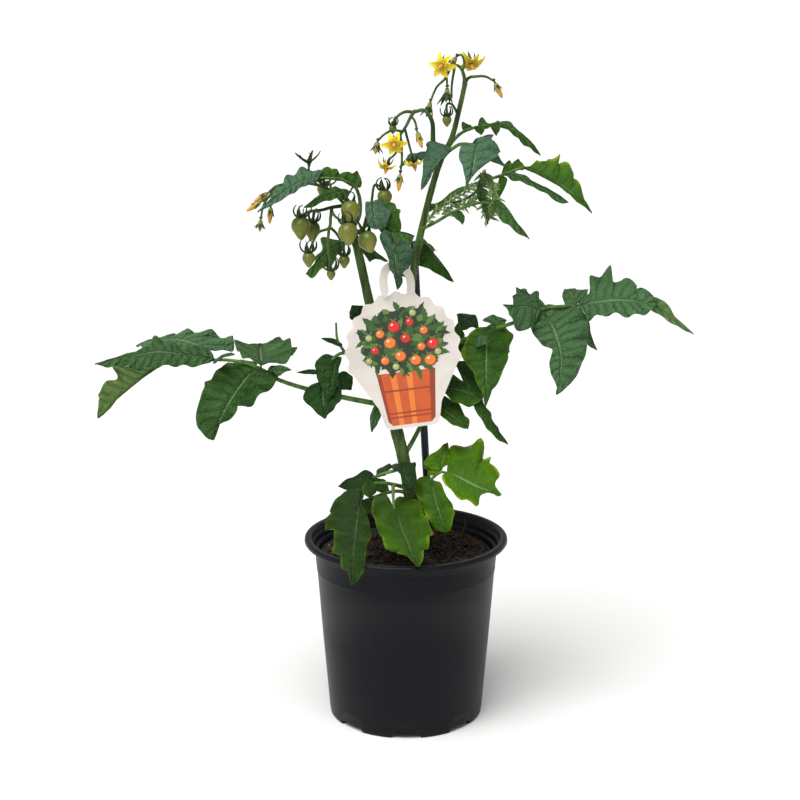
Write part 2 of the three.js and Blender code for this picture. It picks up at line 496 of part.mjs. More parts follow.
        left: [[-5.3, 6.6], [-4.5, 13.7], [-0.3, 17.9], [3.8, 19.9], [9.5, 19.1], [15.1, 19.9],
        [18.2, 16.8], [23.5, 16.1], [29.5, 13.8], [35.6, 10.9], [41.5, 7.9], [44.9, 5],
        [49.6, 2.8]], right: [[2.3, 7.5], [10, 13.8], [17.8, 16.1], [24.2, 17.7], [27.7, 13.4],
        [32.8, 10.5], [38.5, 8.3], [43.6, 5], [47.5, 3.1], [52, 1.6]] },
      { at: [50, 277, -14], tip: [35, 287, -36], face: [0, 1, 0.8], lobes: 1, left: [[4.8, 2.5],
        [6.1, 6.9], [12.4, 7.5]], right: [[15.5, 7.8], [23.4, 6.2], [25.9, 2.7]] },
      { at: [60, 280, -16], tip: [69, 284, -30], face: [0, 1, 1.8], lobes: 1, left: [[-1.9, 8.5],
        [4.2, 8.5], [10.4, 6.6], [14.7, 3.5]], right: [[-3.9, 0.6], [0.7, 1.9], [7.8, 2.6]] },
      { at: [50, 276, -12], tip: [57, 269, 4], face: [0.1, 0.2, 1], lobes: 1, left: [[-22.1, 2],
        [-1.3, 1.1], [9.1, 0.6]], right: [[-8.4, 6.2], [3.5, 9.2], [13.9, 9], [17.4, 5.1]] },
    ],
  },
  leaf_right_low: {
    stalks: [
      { points: [[0, 190, 3], [5, 199, -1], [11, 211, -2], [19, 228, -6], [28, 246, -12],
        [34, 255, -14]], from: 1.7, to: 1, steps: 6 },
    ],
    leaflets: [
      { at: [34, 255, -14], tip: [71, 196, 14], face: [0.3, 0.8, 1], fold: 0.25, bend: -0.07,
        left: [[4.6, 11.3], [16.8, 11.7], [27.5, 8.4], [35.9, 3.9], [40.5, 2.8], [44.7, 4.3],
        [49.2, 1.7], [53.1, 1.3], [55.8, 1.9], [59.1, 0.6], [62.1, 0.6], [65.6, 0.6]],
        right: [[1.9, 0.6], [11.8, 1.2], [23, 2.3], [33.4, 4.4], [40.3, 4.7], [46.8, 4.9],
        [53.8, 4.9], [59.8, 4.4], [65, 2.6]] },
      { at: [23, 236, -8], tip: [53, 229, 8], face: [0.1, 1, 0.9], lobes: 2, left: [[-0.7, 14.8],
        [7.6, 13.3], [15.2, 10.8], [22.1, 7.6], [27.9, 4.8]], right: [[7.9, 5.3], [15.9, 9],
        [23, 9.6], [29.2, 8.4], [32.6, 4.3]] },
      { at: [18, 225, -6], tip: [43, 207, 14], face: [0.2, 0.8, 1], lobes: 2, left: [[0.7, 11.3],
        [10.9, 11.8], [18.7, 9.6], [24.8, 7.4], [29.8, 6]], right: [[6, 2.2], [17.2, 5.1],
        [24.7, 4.1], [30.7, 2.6]] },
      { at: [28, 247, -12], tip: [18, 240, -44], width: 15, face: [-0.3, 1, 0.2], lobes: 2 },
      { at: [33, 257, -14], tip: [36, 282, -14], width: 13, face: [-0.2, 0.5, 1], lobes: 1 },
    ],
  },
  leaf_back: {
    stalks: [
      { points: [[-14, 236, 1], [-10, 244, -20], [-6, 250, -42], [-4, 250, -62]], from: 1.9, steps: 4 },
    ],
    leaflets: [
      { at: [-4, 250, -62], tip: [-8, 232, -108], width: 34, face: [0, 1, -0.3], lobes: 4, cut: 0.3 },
      { at: [-7, 250, -46], tip: [-34, 246, -70], width: 22, face: [0, 1, -0.2], lobes: 3 },
      { at: [-6, 251, -50], tip: [24, 252, -78], width: 22, face: [0, 1, -0.2], lobes: 3 },
    ],
  },
  leaf_top_left: {
    stalks: [
      { points: [[-36, 348, -2], [-32, 354, -6], [-31, 364, -6], [-34, 374, -2], [-44, 380, 6]],
        from: 1.6, steps: 5 },
    ],
    leaflets: [
      { at: [-58, 381, 11], tip: [-100, 357, 41], face: [0, 1, 0.8], arch: 0.1, fold: 0.12,
        left: [[6, 3.2], [12.9, 3.2], [20.2, 3.7], [25.8, 4.3], [31.1, 4.6], [34.9, 4],
        [40.1, 4.1], [44.7, 2.6], [49.7, 1.4]], right: [[-7.5, 8.3], [-4.2, 12.7], [0.3, 14.6],
        [6.3, 13.7], [12.4, 11.6], [16.9, 12.4], [21.8, 10.1], [27.3, 6.1], [31.2, 6.5],
        [36.7, 4], [42.1, 1.5], [47.3, 0.6]] },
      { at: [-33, 374, -3], tip: [-65, 379, 6], face: [0, 0.5, 1], lobes: 2, arch: 0.02, fold:
        0.02, bend: -0.12, left: [[5.1, 1.8], [10.9, 1.1], [16.5, 1.4], [22, 1.6], [27.4, 2.6]],
        right: [[-2.1, 1.2], [-3, 7.6], [0.6, 12.4], [2.9, 7.3], [4.8, 8.1], [9.8, 5.8],
        [12.1, 2.5], [13.7, 5.6], [15.8, 7.3], [17.9, 5.9], [21.1, 8.1], [24.5, 6.7], [25.7, 4],
        [30.4, 3.4]] },
      { at: [-38, 371, 1], tip: [-69, 360, 28], face: [0, 1, 0.9], lobes: 2, arch: 0.1,
        left: [[7.7, 5.7], [15.4, 4.9], [23.4, 4], [31, 2.9], [37.4, 2.8]], right: [[1.4, 5.3],
        [7.7, 6.9], [15.7, 5.2], [24, 3.8], [30.6, 1.8], [36.2, 0.9]] },
    ],
  },
  leaf_centre: {
    stalks: [
      { points: [[-32, 332, -2], [-29, 345, 6], [-26, 357, 8], [-23, 364, 8]], from: 1.5, steps: 4 },
      { points: [[-28, 349, 7], [-21, 350, 12], [-14, 345, 14]], from: 1.2, steps: 2 },
    ],
    leaflets: [
      { at: [-23, 364, 8], tip: [-21, 346, 22], face: [0.1, 0.8, 1], lobes: 2, left: [[-2.7, 5],
        [1.1, 9.4], [7.8, 12.1], [14.3, 10.2], [19.9, 5.5]], right: [[-0.8, 3.9], [5.3, 5.1],
        [12.8, 5], [19.4, 3.8]] },
      { at: [-24, 361, 7], tip: [-10, 340, 12], face: [0.1, 0.1, 1], lobes: 2, left: [[1.9, 9.6],
        [7.1, 14.9], [10.6, 14.5], [12.7, 16.4], [15.3, 13], [20.4, 11.1], [24, 7.5],
        [25.9, 3.8]], right: [[5.4, 1.7], [11.6, 3.5], [17.6, 3.5], [21.9, 2.4]] },
      { at: [-14, 345, 14], tip: [5, 341, 8], face: [0, 1, 0.8], lobes: 1, left: [[5.4, 0.6],
        [9.6, 0.6], [13.4, 0.6], [15.6, 0.6]], right: [[5.2, 9.7], [10, 11.4], [14.3, 12.6],
        [17.8, 6.4]] },
    ],
  },
  leaf_hook: {
    stalks: [
      { points: [[4, 314, 2], [-3, 315, 7], [-8, 316.3, 12], [-11, 322, 20], [-9, 331, 26],
        [-8, 336, 26]], from: 1.1, to: 0.8, steps: 6 },
    ],
    leaflets: [
      { at: [-8, 336, 26], tip: [-6, 305, 31], face: [0, 0.3, 1], lobes: 2, left: [[-4, 2.6],
        [0, 8.3], [4.6, 12.4], [8.5, 12.5], [13.1, 10.5], [16.9, 8.3], [17.7, 5.3], [20.6, 3.2],
        [24.5, 3.9], [28.4, 2.1]], right: [[-10.5, 4.9], [-7.4, 9.1], [0.1, 7.5], [7.6, 4.7],
        [14.3, 3.1], [21.6, 1.5]] },
    ],
  },
  leaf_back_left: {
    stalks: [
      { points: [[-33, 333, -2], [-37, 337, -10], [-42, 337, -14]], from: 1.3, steps: 2 },
    ],
    leaflets: [
      { at: [-42, 337, -14], tip: [-68, 316, -2], face: [-0.3, 1, 0.8], lobes: 2, left: [[1.5, 3],
        [9.7, 7.1], [16.6, 9.3], [21.7, 7.8], [26.9, 6.2], [33.9, 5.2]], right: [[2.9, 12.1],
        [8.3, 16], [12.5, 9.8], [16.8, 5.4], [21.5, 4], [22.4, 0.6], [26.7, 0.6], [30.9, 0.6]] },
      { at: [-36, 336, -9], tip: [-13, 324, -24], width: 14, face: [0, 1, 0.8], lobes: 2 },
    ],
  },
  leaf_back_right: {
    stalks: [
      { points: [[9, 340, 1], [13, 337, -6], [14, 331, -12]], from: 1.3, steps: 2 },
    ],
    leaflets: [
      { at: [12, 336, -8], tip: [32, 310, -6], face: [0, 0.8, 1], lobes: 2, left: [[3.4, 0.6],
        [8.2, 0.6], [12.2, 0.6], [15.6, 0.6], [19.8, 0.6], [25.5, 0.6]], right: [[6.3, 12],
        [11.9, 10.7], [16.3, 8], [21.1, 5.7], [27.6, 3.3]] },
      { at: [12, 337, -8], tip: [14, 322, -40], width: 16, face: [0, 1, -0.3], lobes: 2 },
    ],
  },
  leaf_upper_front: {
    stalks: [
      { points: [[24, 395, -1], [31, 400, 12], [37, 403, 20], [46, 402, 24]], from: 1.5, steps: 3 },
    ],
    leaflets: [
      { at: [30, 400, 11], tip: [10, 373, 30], face: [-0.3, 0.7, 1], lobes: 2, fold: 0.2,
        left: [[3.4, 0.6], [11, 0.6], [18.2, 0.6], [25.3, 1], [32.3, 1.8]], right: [[-3.6, 10.1],
        [-0.2, 15.9], [3.4, 18.3], [5.4, 15.6], [8.5, 16.3], [10.2, 13.5], [15.4, 12.4],
        [22.3, 7.8], [28.8, 4.4], [34.3, 2.1]] },
      { at: [46, 402, 24], tip: [40, 373, 44], face: [0, 0.7, 1], lobes: 2, bend: 0.05,
        left: [[-8.6, 3.9], [-9.1, 10], [-7.7, 14.5], [-3.4, 16.7], [0.6, 15.1], [3.8, 16.4],
        [8.9, 12], [11, 8.2], [15.1, 5.4], [19.5, 3.6], [23.8, 1.4], [27.8, 0.6]],
        right: [[-2.4, 7.3], [4.5, 9.7], [10.6, 9.6], [16.1, 7.9], [19.7, 5.5], [23.3, 4.7],
        [26.6, 2.7]] },
      { at: [47, 402, 24], tip: [67, 387, 14], face: [0, 1, 1], lobes: 1, left: [[5.8, 3.1],
        [13.2, 4.5], [18, 3.6], [21.3, 0.7]], right: [[6.4, 4.3], [13.1, 4.3], [19.4, 3.2]] },
      { at: [20, 399, -7], tip: [-4, 387, -20], face: [0, 1, 0.8], lobes: 1, left: [[8.8, 5.9],
        [15.1, 3], [21.3, 2.3], [26.1, 1.7]], right: [[9, 1.5], [16.3, 5.3], [22.8, 6.3],
        [27.4, 4.6]] },
      { at: [44, 403, 23], tip: [58, 409, 4], face: [0, 1, 0.8], lobes: 1, left: [[5.8, 1.6],
        [10.1, 0.6], [15.9, 0.6]], right: [[4.6, 2.8], [8.7, 5.5], [14.8, 4.4]] },
    ],
  },
  leaf_top_right: {
    stalks: [
      { points: [[28, 401, -1], [33, 407, -9], [38, 411, -16], [46, 414, -23], [53, 415, -28],
        [60, 417, -32]], from: 1.3, to: 0.8, steps: 5 },
    ],
    leaflets: [
      { at: [58, 416, -31], tip: [89, 395, -36], face: [0, 1, 0.7], lobes: 2, arch: 0.16, fold:
        0.4, left: [[2.7, 8.3], [7.3, 13.7], [10.7, 11.3], [13.6, 11.8], [15.8, 5.2], [19.9, 3.4],
        [24.7, 0.6], [29.8, 0.6], [35, 0.6]], right: [[3.3, 1.5], [6.8, 0.8], [11.3, 1.7],
        [16.6, 3.4], [22.3, 4.5], [27.9, 4.2], [33.7, 2.7]] },
      { at: [42, 413, -20], tip: [37, 417, -34], face: [0, 1, 0.7], lobes: 1, left: [[-1, 0.7],
        [1, 4.3]], right: [[1.9, 2.5], [7.1, 0.7]] },
      { at: [48, 414, -25], tip: [50, 420, -42], face: [0, 1, 0.7], lobes: 1, left: [[3.5, 0.6],
        [8.6, 0.6]], right: [[3.6, 8.2], [9.1, 4.6]] },
      { at: [56, 416, -30], tip: [60, 408, -20], face: [0, 0.6, 1], lobes: 1, left: [[3.3, 5.7],
        [8.3, 4], [11.4, 1.8]], right: [[0.2, 0.6], [6.6, 1.2], [10.8, 0.6]] },
      { at: [47, 414, -24], tip: [50, 409, -14], face: [0, 0.6, 1], lobes: 1, left: [[-5.7, 5.6],
        [5.2, 3.8], [9.1, 1.9]], right: [[-11.3, 0.6], [5.1, 2.2], [9.7, 0.8]] },
    ],
  },
  leaf_upper_right: {
    stalks: [
      { points: [[13, 358, -1], [24, 364, -8], [35, 371, -12], [45, 376, -15], [54, 379, -17],
        [63, 382, -19], [71, 385, -21], [79, 388, -23]], from: 1.6, to: 0.9, steps: 7 },
    ],
    leaflets: [
      { at: [79, 388, -23], tip: [125, 357, -12], face: [-0.1, 1, 0.8], arch: 0.1, fold: 0.1,
        left: [[2.8, 2.5], [4.3, 10.8], [6.3, 9.1], [9, 14.1], [10.3, 20], [12.3, 18.4], [14, 21],
        [13.6, 25.7], [17.2, 19.4], [20.4, 20.9], [23.5, 19.5], [27, 19.2], [29.8, 17.8],
        [30.3, 14.6], [33.5, 12.5], [38.1, 9.8], [42.6, 6.6], [47.5, 3]], right: [[9.4, 0.6],
        [14.3, 0.6], [19.5, 0.6], [24.3, 0.6], [29, 1.4], [34.7, 2.4], [40.9, 2.6], [48.4, 1.5]]
        },
      { at: [66, 383, -20], tip: [109, 364, 2], face: [0, 1, 0.9], lobes: 2, fold: 0.2,
        left: [[3.4, 5.1], [10.4, 3.9], [15.8, 4.1], [20.4, 1.6], [26.5, 0.6], [33.1, 0.6],
        [39.2, 0.6], [43.8, 0.6]], right: [[7, 3.6], [12.7, 2.6], [19.1, 2.7], [26.4, 3.2],
        [33.5, 3.2], [40.1, 3.8], [45.6, 3.8]] },
      { at: [63, 382, -19], tip: [59, 362, -8], face: [0.4, 0.7, 1], lobes: 1, left: [[-0.4, 5.2],
        [7.4, 4.7], [14.2, 3]], right: [[4.7, 0.6], [12.4, 2.6], [18.8, 2.4]] },
      { at: [70, 385, -21], tip: [75, 393, -36], face: [0, 1, 0.8], lobes: 1, left: [[5.2, 1.1],
        [9.1, 1.7]], right: [[8.4, 7.4], [12.5, 4.6]] },
      { at: [64, 383, -19], tip: [69, 392, -32], face: [0, 1, 0.8], lobes: 1, left: [[5.6, 1.1],
        [10.5, 1.2]], right: [[9, 5.1], [13.4, 3]] },
      { at: [43, 375, -15], tip: [24, 365, -32], width: 15, face: [0.2, 1, 0.6], lobes: 3 },
      { at: [28, 366, -9], tip: [16, 352, -26], width: 13, face: [0, 1, 0.6], lobes: 2 },
    ],
  },
  leaf_inner_right: {
    stalks: [
      { points: [[10, 346, 0], [20, 351, 9], [32, 358, 18], [42, 362, 24], [52, 364, 28],
        [59, 363, 31]], from: 1.3, to: 0.8, steps: 5 },
    ],
    leaflets: [
      { at: [59, 363, 31], tip: [83, 339, 48], face: [0.1, 1, 0.9], lobes: 2, fold: 0.1,
        left: [[-2.5, 2.5], [2, 4.4], [7.7, 4.3], [13.7, 2.2], [19.8, 0.7], [25.3, 0.6],
        [29.4, 0.6]], right: [[1.6, 4.9], [8, 5.6], [14.2, 6], [19.3, 5.3], [24.4, 4.5],
        [28.8, 3]] },
      { at: [34, 358, 19], tip: [38, 349, 32], face: [0, 0.7, 1], lobes: 1, left: [[-0.3, 2.3],
        [7.5, 3.3], [11.9, 2.1]], right: [[-0.5, 3.2], [7.2, 3.1], [11.3, 1.5]] },
      { at: [52, 364, 28], tip: [55, 349, 38], face: [0.2, 0.7, 1], lobes: 1, left: [[4, 1.4],
        [9.6, 1.5], [13.1, 1.2]], right: [[4.5, 2.1], [9.4, 1.1], [13.1, 0.6]] },
      { at: [50, 364, 27], tip: [49, 379, 28], face: [0, 0.8, 1], lobes: 1, left: [[3.9, 2.3],
        [9.8, 2.2]], right: [[3.7, 2.3], [9.6, 1.7]] },
    ],
  },
};

// Flower and fruit stalks

// A thin pointed star round an axis: sepals or petals that join at their base. Each point has a
// valley beside it, shoulders where half is given, and bends away from the axis by its curl.
function starSolid({ centre, axis, points, reach, valley, half, curl, turn = 0, thickness }) {
  const side = new THREE.Vector3().crossVectors(axis, new THREE.Vector3(0.3, 0.9, 0.2)).normalize();
  const place = (angle, share, sideways = 0) => {
    const out = side.clone().applyAxisAngle(axis, angle);
    const across = new THREE.Vector3().crossVectors(axis, out);
    return centre.clone()
      .addScaledVector(out, reach * share * Math.cos(curl * share))
      .addScaledVector(axis, reach * share * Math.sin(curl * share))
      .addScaledVector(across, sideways);
  };
  const ring = [];
  for (let i = 0; i < points; i += 1) {
    const angle = ((i + turn) / points) * Math.PI * 2;
    ring.push(place(angle - Math.PI / points, valley));
    if (half) ring.push(place(angle, 0.6, -half));
    ring.push(place(angle, 1));
    if (half) ring.push(place(angle, 0.6, half));
  }
  const lift = axis.clone().multiplyScalar(thickness / 2);
  const positions = [centre, ...ring].flatMap((point) => [
    ...point.clone().add(lift).toArray(), ...point.clone().sub(lift).toArray()]);
  const corners = [];
  const face = (a, b, c) => corners.push(2 * a, 2 * b, 2 * c, 2 * a + 1, 2 * c + 1, 2 * b + 1);
  const perPoint = half ? 4 : 2;
  const count = ring.length;
  for (let i = 0; i < count; i += 1) {
    const [here, next] = [i + 1, ((i + 1) % count) + 1];
    const atTip = half && i % perPoint === 1;
    if (atTip) {
      face(here, next, ((i + 2) % count) + 1);
      face(0, here, ((i + 2) % count) + 1);
    } else if (!half || i % perPoint !== 2) face(0, here, next);
    corners.push(2 * here, 2 * here + 1, 2 * next, 2 * next, 2 * here + 1, 2 * next + 1);
  }
  const geometry = new THREE.BufferGeometry();
  geometry.setAttribute('position', new THREE.Float32BufferAttribute(positions, 3));
  geometry.setIndex(corners);
  const solid = solidOf(geometry);
  return solid.volume() > 0 ? solid : solidOf(flipped(geometry));
}

// The green sepals round the end of a stalk, curling back from what it carries.
function calyxSolid({ at, dir, sepals = 6, curl = -0.5 }) {
  return starSolid({
    centre: spot(at), axis: facing(dir), points: 5, reach: sepals, valley: 0.22, curl,
    thickness: petal.thickness,
  });
}

function trussSolid({ stalks, ends }) {
  const tubes = stalks.map(({ points, from = 1.2, to = 0.8, steps = 4 }) =>
    stalkSolid(points.map(spot), from, to, { sides: 4, steps }));
  return join([...tubes, ...ends.map(calyxSolid)]);
}

// A young tomato hanging from its sepals: round, with a drawn-out point.
function fruitSolid({ at, dir, radius, point = 0.45 }) {
  const steps = 5;
  const profile = [];
  for (let i = 0; i <= steps; i += 1) {
    const turn = (i / steps) * Math.PI;
    const reach = Math.sin(turn) ** 0.9;
    const nose = point * radius * Math.max(0, -Math.cos(turn)) ** 6;
    profile.push([i === 0 || i === steps ? 0 : radius * reach * (1 - 0.12 * (turn > 2.1)),
      radius * Math.cos(turn) - nose]);
  }
  const outline = profile.reverse().map(([reach, height]) => new THREE.Vector2(reach, height - radius));
  const shape = new THREE.LatheGeometry(outline, 8);
  const axis = facing(dir).negate();
  const turnTo = new THREE.Quaternion().setFromUnitVectors(new THREE.Vector3(0, 1, 0), axis);
  shape.applyQuaternion(turnTo);
  const top = spot(at).addScaledVector(axis, -0.9);
  shape.translate(top.x, top.y, top.z);
  const solid = solidOf(shape);
  return solid.volume() > 0 ? solid : solidOf(flipped(shape));
}

// A yellow bloom: a star of petals round a cone of joined anthers. A shut one is a slim bud.
function bloomSolid({ at, dir, reach = 6, shut = false }) {
  const axis = facing(dir);
  const centre = spot(at).addScaledVector(axis, petal.thickness + gap);
  const cone = shut ? reach : 5;
  const shape = new THREE.LatheGeometry([[0, 0], [1.5, 0.3], [1.7, cone * 0.5], [0, cone]]
    .map(([radius, height]) => new THREE.Vector2(radius, height)), 6);
  shape.applyQuaternion(new THREE.Quaternion().setFromUnitVectors(new THREE.Vector3(0, 1, 0), axis));
  shape.translate(centre.x, centre.y, centre.z);
  let core = solidOf(shape);
  if (core.volume() < 0) core = solidOf(flipped(shape));
  if (shut) return core;
  return core.add(starSolid({
    centre, axis, points: 6, reach, valley: 0.3, half: 1.5, curl: -0.5, turn: 0.5,
    thickness: petal.thickness,
  }));
}

// Each truss has its stalks, and at their ends sepals that may carry a fruit or a bloom.
const trusses = {
  truss_fruit: {
    stalks: [
      { points: [[-37, 354, -2], [-40, 361, 4], [-49, 361, 12], [-57, 359, 18], [-65, 358, 20],
        [-71, 355, 20]], from: 1.5, to: 0.9, steps: 5 },
      { points: [[-50, 361, 13], [-51, 354, 20], [-52, 347, 22], [-59, 344, 24], [-66, 331, 26]],
        steps: 8 },
      { points: [[-52, 347, 22], [-53, 335, 22], [-51, 319, 22]], from: 1, to: 0.7, steps: 2 },
      { points: [[-52, 348, 22], [-47, 343, 16], [-43, 335, 13], [-42, 329, 13]], from: 1, to: 0.7,
        steps: 3 },
      { points: [[-43, 361, 7], [-41, 365, 10], [-38, 364, 14]], from: 1, steps: 2 },
      { points: [[-50, 358, 16], [-47, 354, 27], [-40, 350, 31]], from: 1, steps: 2 },
      { points: [[-60, 358, 18], [-62, 358, 11], [-63, 352, 8]], from: 1, steps: 2 },
    ],
    ends: [
      { at: [-71, 355, 20], dir: [0, -1, 0.1], fruit: { name: 'fruit_1', radius: 6.4 } },
      { at: [-63, 352, 8], dir: [-0.1, -1, 0], fruit: { name: 'fruit_2', radius: 5.4 } },
      { at: [-38, 364, 14], dir: [0.1, -0.7, 0.7], fruit: { name: 'fruit_3', radius: 6.4 } },
      { at: [-40, 350, 31], dir: [0.1, -0.8, 0.5], fruit: { name: 'fruit_4', radius: 6.4 } },
      { at: [-66, 331, 26], dir: [0, -1, 0.1], fruit: { name: 'fruit_6', radius: 4.3 } },
      { at: [-42, 329, 13], dir: [0, -1, 0.1], fruit: { name: 'fruit_7', radius: 3.8 } },
      { at: [-51, 319, 22], dir: [0, -1, 0.1], fruit: { name: 'fruit_8', radius: 3 } },
    ],
  },
  truss_fruit_side: {
    stalks: [
      { points: [[-34, 340, -2], [-34, 345, 7], [-28, 344, 16]], from: 1.2, steps: 3 },
    ],
    ends: [
      { at: [-28, 344, 16], dir: [0.3, -0.8, 0.6], fruit: { name: 'fruit_5', radius: 6.4 } },
    ],
  },
  truss_fruit_high: {
    stalks: [
      { points: [[-35, 342, -2], [-25, 351, -9], [-23, 367, -11], [-21, 376, -9], [-15, 373, -3]],
        from: 1.2, steps: 5 },
    ],
    ends: [
      { at: [-15, 373, -3], dir: [0.1, -0.9, 0.2], fruit: { name: 'fruit_10', radius: 5 } },
    ],
  },
  truss_left_buds: {
    stalks: [
      { points: [[-38, 357, -2], [-46, 368, -5], [-57, 375, -6], [-70, 377, -6], [-87, 375, -4],
        [-92, 371, 0]], from: 1.3, to: 0.8, steps: 6 },
      { points: [[-86, 375, -4], [-92, 368, 6], [-97, 365, 8]], from: 0.9, to: 0.7, steps: 2 },
      { points: [[-85, 375, -4], [-90, 366, -6], [-91, 362, -6]], from: 0.9, to: 0.7, steps: 2 },
      { points: [[-88, 374, -3], [-96, 362, -10], [-98, 353, -10]], from: 0.9, to: 0.7, steps: 2 },
      { points: [[-60, 376, -6], [-65, 384, -2], [-65, 390, 0]], from: 0.9, to: 0.7, steps: 2 },
      { points: [[-50, 371, -5], [-52, 378, -12], [-55, 377, -16]], from: 0.9, to: 0.7, steps: 2 },
    ],
    ends: [
      { at: [-92, 371, 0], dir: [-0.8, -0.5, 0.2], sepals: 5, bloom: { name: 'bloom_left_1', shut: true } },
      { at: [-97, 365, 8], dir: [-0.8, -0.5, 0.2], sepals: 5, bloom: { name: 'bloom_left_2', shut: true } },
      { at: [-91, 362, -6], dir: [-0.1, -1, 0], sepals: 5, bloom: { name: 'bloom_left_3', shut: true } },
      { at: [-98, 353, -10], dir: [-0.1, -1, 0], sepals: 6, curl: 0.9 },
      { at: [-65, 390, 0], dir: [0, 1, 0.2], sepals: 6 },
      { at: [-55, 377, -16], dir: [-0.2, -0.9, 0], sepals: 6, fruit: { name: 'fruit_9', radius: 4 } },
    ],
  },
  truss_middle: {
    stalks: [
      { points: [[22, 390, -1], [18, 404, -2], [17, 418, 3], [12, 425, 3], [5, 424, 3], [-1, 424, 3],
        [-6, 421, 3], [-9, 416, 3]], from: 2, to: 0.8, steps: 7 },
      { points: [[6, 425, 3], [3, 421, 5], [0, 415, 6], [-4, 409, 7], [-8, 403, 13]], steps: 4 },
      { points: [[-4, 409, 7], [-7, 397, 2], [-11, 393, 1], [-13, 389, 1]], from: 0.9, to: 0.7, steps: 3 },
      { points: [[-4, 409, 7], [-3, 398, 10], [-3, 391, 12], [-4, 384, 14]], from: 0.9, to: 0.7, steps: 3 },
      { points: [[-1, 413, 6], [2, 402, -2], [5, 391, -4]], from: 0.9, to: 0.7, steps: 2 },
      { points: [[3, 422, 5], [6, 417, 8], [7, 412, 9]], from: 0.9, to: 0.7, steps: 2 },
      { points: [[-2, 411, 6], [-9, 412, 8], [-15, 409, 8], [-19, 405, 8]], from: 0.9, to: 0.7, steps: 3 },
    ],
    ends: [
      { at: [-9, 416, 3], dir: [0, -1, 0], sepals: 4, fruit: { name: 'fruit_12', radius: 2.6 } },
      { at: [-8, 403, 13], dir: [0, -0.2, 1], bloom: { name: 'bloom_star', reach: 8 } },
      { at: [-13, 389, 1], dir: [-0.2, -1, 0.3], sepals: 5,
        bloom: { name: 'bloom_middle_left', reach: 7 } },
      { at: [-4, 384, 14], dir: [-0.1, -1, 0.2], sepals: 5,
        bloom: { name: 'bloom_middle_low', shut: true } },
      { at: [5, 391, -4], dir: [0.2, -1, 0.1], sepals: 5,
        bloom: { name: 'bloom_middle_right', reach: 7 } },
      { at: [7, 412, 9], dir: [0.3, -1, 0.3], sepals: 5,
        bloom: { name: 'bloom_middle_side', shut: true } },
      { at: [-19, 405, 8], dir: [-0.2, -1, 0.1], sepals: 7, curl: 0.4 },
    ],
  },
  truss_top: {
    stalks: [
      { points: [[38, 441, 0], [41, 446, 1], [46, 447, 2], [52, 447, 3], [58, 444, 4]], from: 1.2,
        to: 0.7 },
      { points: [[38, 441, 0], [38, 448, 4], [34, 454, 8], [30, 453, 10], [27, 448, 10], [27, 440, 10]],
        from: 1.2, to: 0.7, steps: 5 },
      { points: [[28, 450, 10], [25, 445, 3], [20, 440, 0], [16, 431, -1]], from: 0.9, to: 0.7, steps: 3 },
      { points: [[28, 450, 10], [24, 454, 14]], from: 0.9, to: 0.7, steps: 1 },
      { points: [[38, 446, 2], [37, 452, -7], [40, 458, -9], [43, 456, -5]], from: 0.9, to: 0.7,
        steps: 3 },
      { points: [[37, 450, 5], [38, 457, 3], [36, 461, 2], [33, 460, 2]], from: 0.9, to: 0.7,
        steps: 3 },
      { points: [[32, 454, 9], [30, 441, 4], [30, 433, 3]], from: 0.9, to: 0.7, steps: 2 },
    ],
    ends: [
      { at: [58, 444, 4], dir: [0.5, -1, 0.1], sepals: 5, bloom: { name: 'bloom_top_side', shut: true } },
      { at: [27, 440, 10], dir: [0, -1, 0], sepals: 10, curl: 0.9 },
      { at: [16, 431, -1], dir: [-0.2, -1, 0], sepals: 9, curl: 0.9 },
      { at: [24, 454, 14], dir: [-0.5, -0.2, 1], bloom: { name: 'bloom_top_left', reach: 9 } },
      { at: [43, 456, -5], dir: [0.1, -0.7, 0.7], bloom: { name: 'bloom_top_right', reach: 9 } },
      { at: [33, 460, 2], dir: [-0.5, -0.8, 0.1], sepals: 5, curl: 0.9 },
    ],
  },
  truss_hanging: {
    stalks: [
      { points: [[34, 423, 0], [30, 429, 5], [27, 429, 8], [27, 422, 9]], from: 0.9, to: 0.7, steps: 3 },
    ],
    ends: [
      { at: [27, 422, 9], dir: [0, -1, 0], sepals: 4, fruit: { name: 'fruit_11', radius: 3.1 } },
    ],
  },
  truss_young: {
    stalks: [
      { points: [[15, 362, -1], [26, 363, 4], [36, 365, 8], [44, 369, 10], [49, 374, 11],
        [51, 378, 11]], from: 1.2, to: 0.8, steps: 5 },
      { points: [[47, 372, 11], [52, 371, 22], [54, 362, 26]], from: 0.9, to: 0.7, steps: 3 },
    ],
    ends: [
      { at: [51, 378, 11], dir: [0.2, 1, 0.2], sepals: 6, curl: 0.7 },
      { at: [54, 362, 26], dir: [0.1, -1, 0], sepals: 8, curl: 0.8 },
    ],
  },
};

// Label: a flat card with a hook that hangs on a leaf stalk.

const tag = {
  thickness: 0.8, centre: [-2, 262, 11], turn: 0.13, radius: 39, rise: 41, bump: 2.4, bumps: 13,
  footUp: -54, footHalf: 19, hookHalf: 2.8,
  hook: [[10, 36, 0], [11, 50, 0], [8, 57, 0], [2, 60, 1], [-4, 58, 2], [-7, 51, 3], [-7, 39, 3]],
};

// The card's outline: a scalloped round head over a foot that narrows downward.
function tagOutline() {
  const points = [];
  const steps = tag.bumps * 2;
  for (let i = 0; i <= steps; i += 1) {
    const angle = -0.35 + (i / steps) * (Math.PI + 0.7);
    const reach = 1 + (i % 2 ? tag.bump : -tag.bump) / tag.radius / 2;
    points.push([tag.radius * reach * Math.cos(angle), tag.rise * reach * Math.sin(angle)]);
  }
  points.push([-tag.footHalf - 3, tag.footUp + 16], [-tag.footHalf, tag.footUp + 3]);
  points.push([-tag.footHalf + 4, tag.footUp], [tag.footHalf - 4, tag.footUp]);
  points.push([tag.footHalf, tag.footUp + 3], [tag.footHalf + 3, tag.footUp + 16]);
  return points;
}

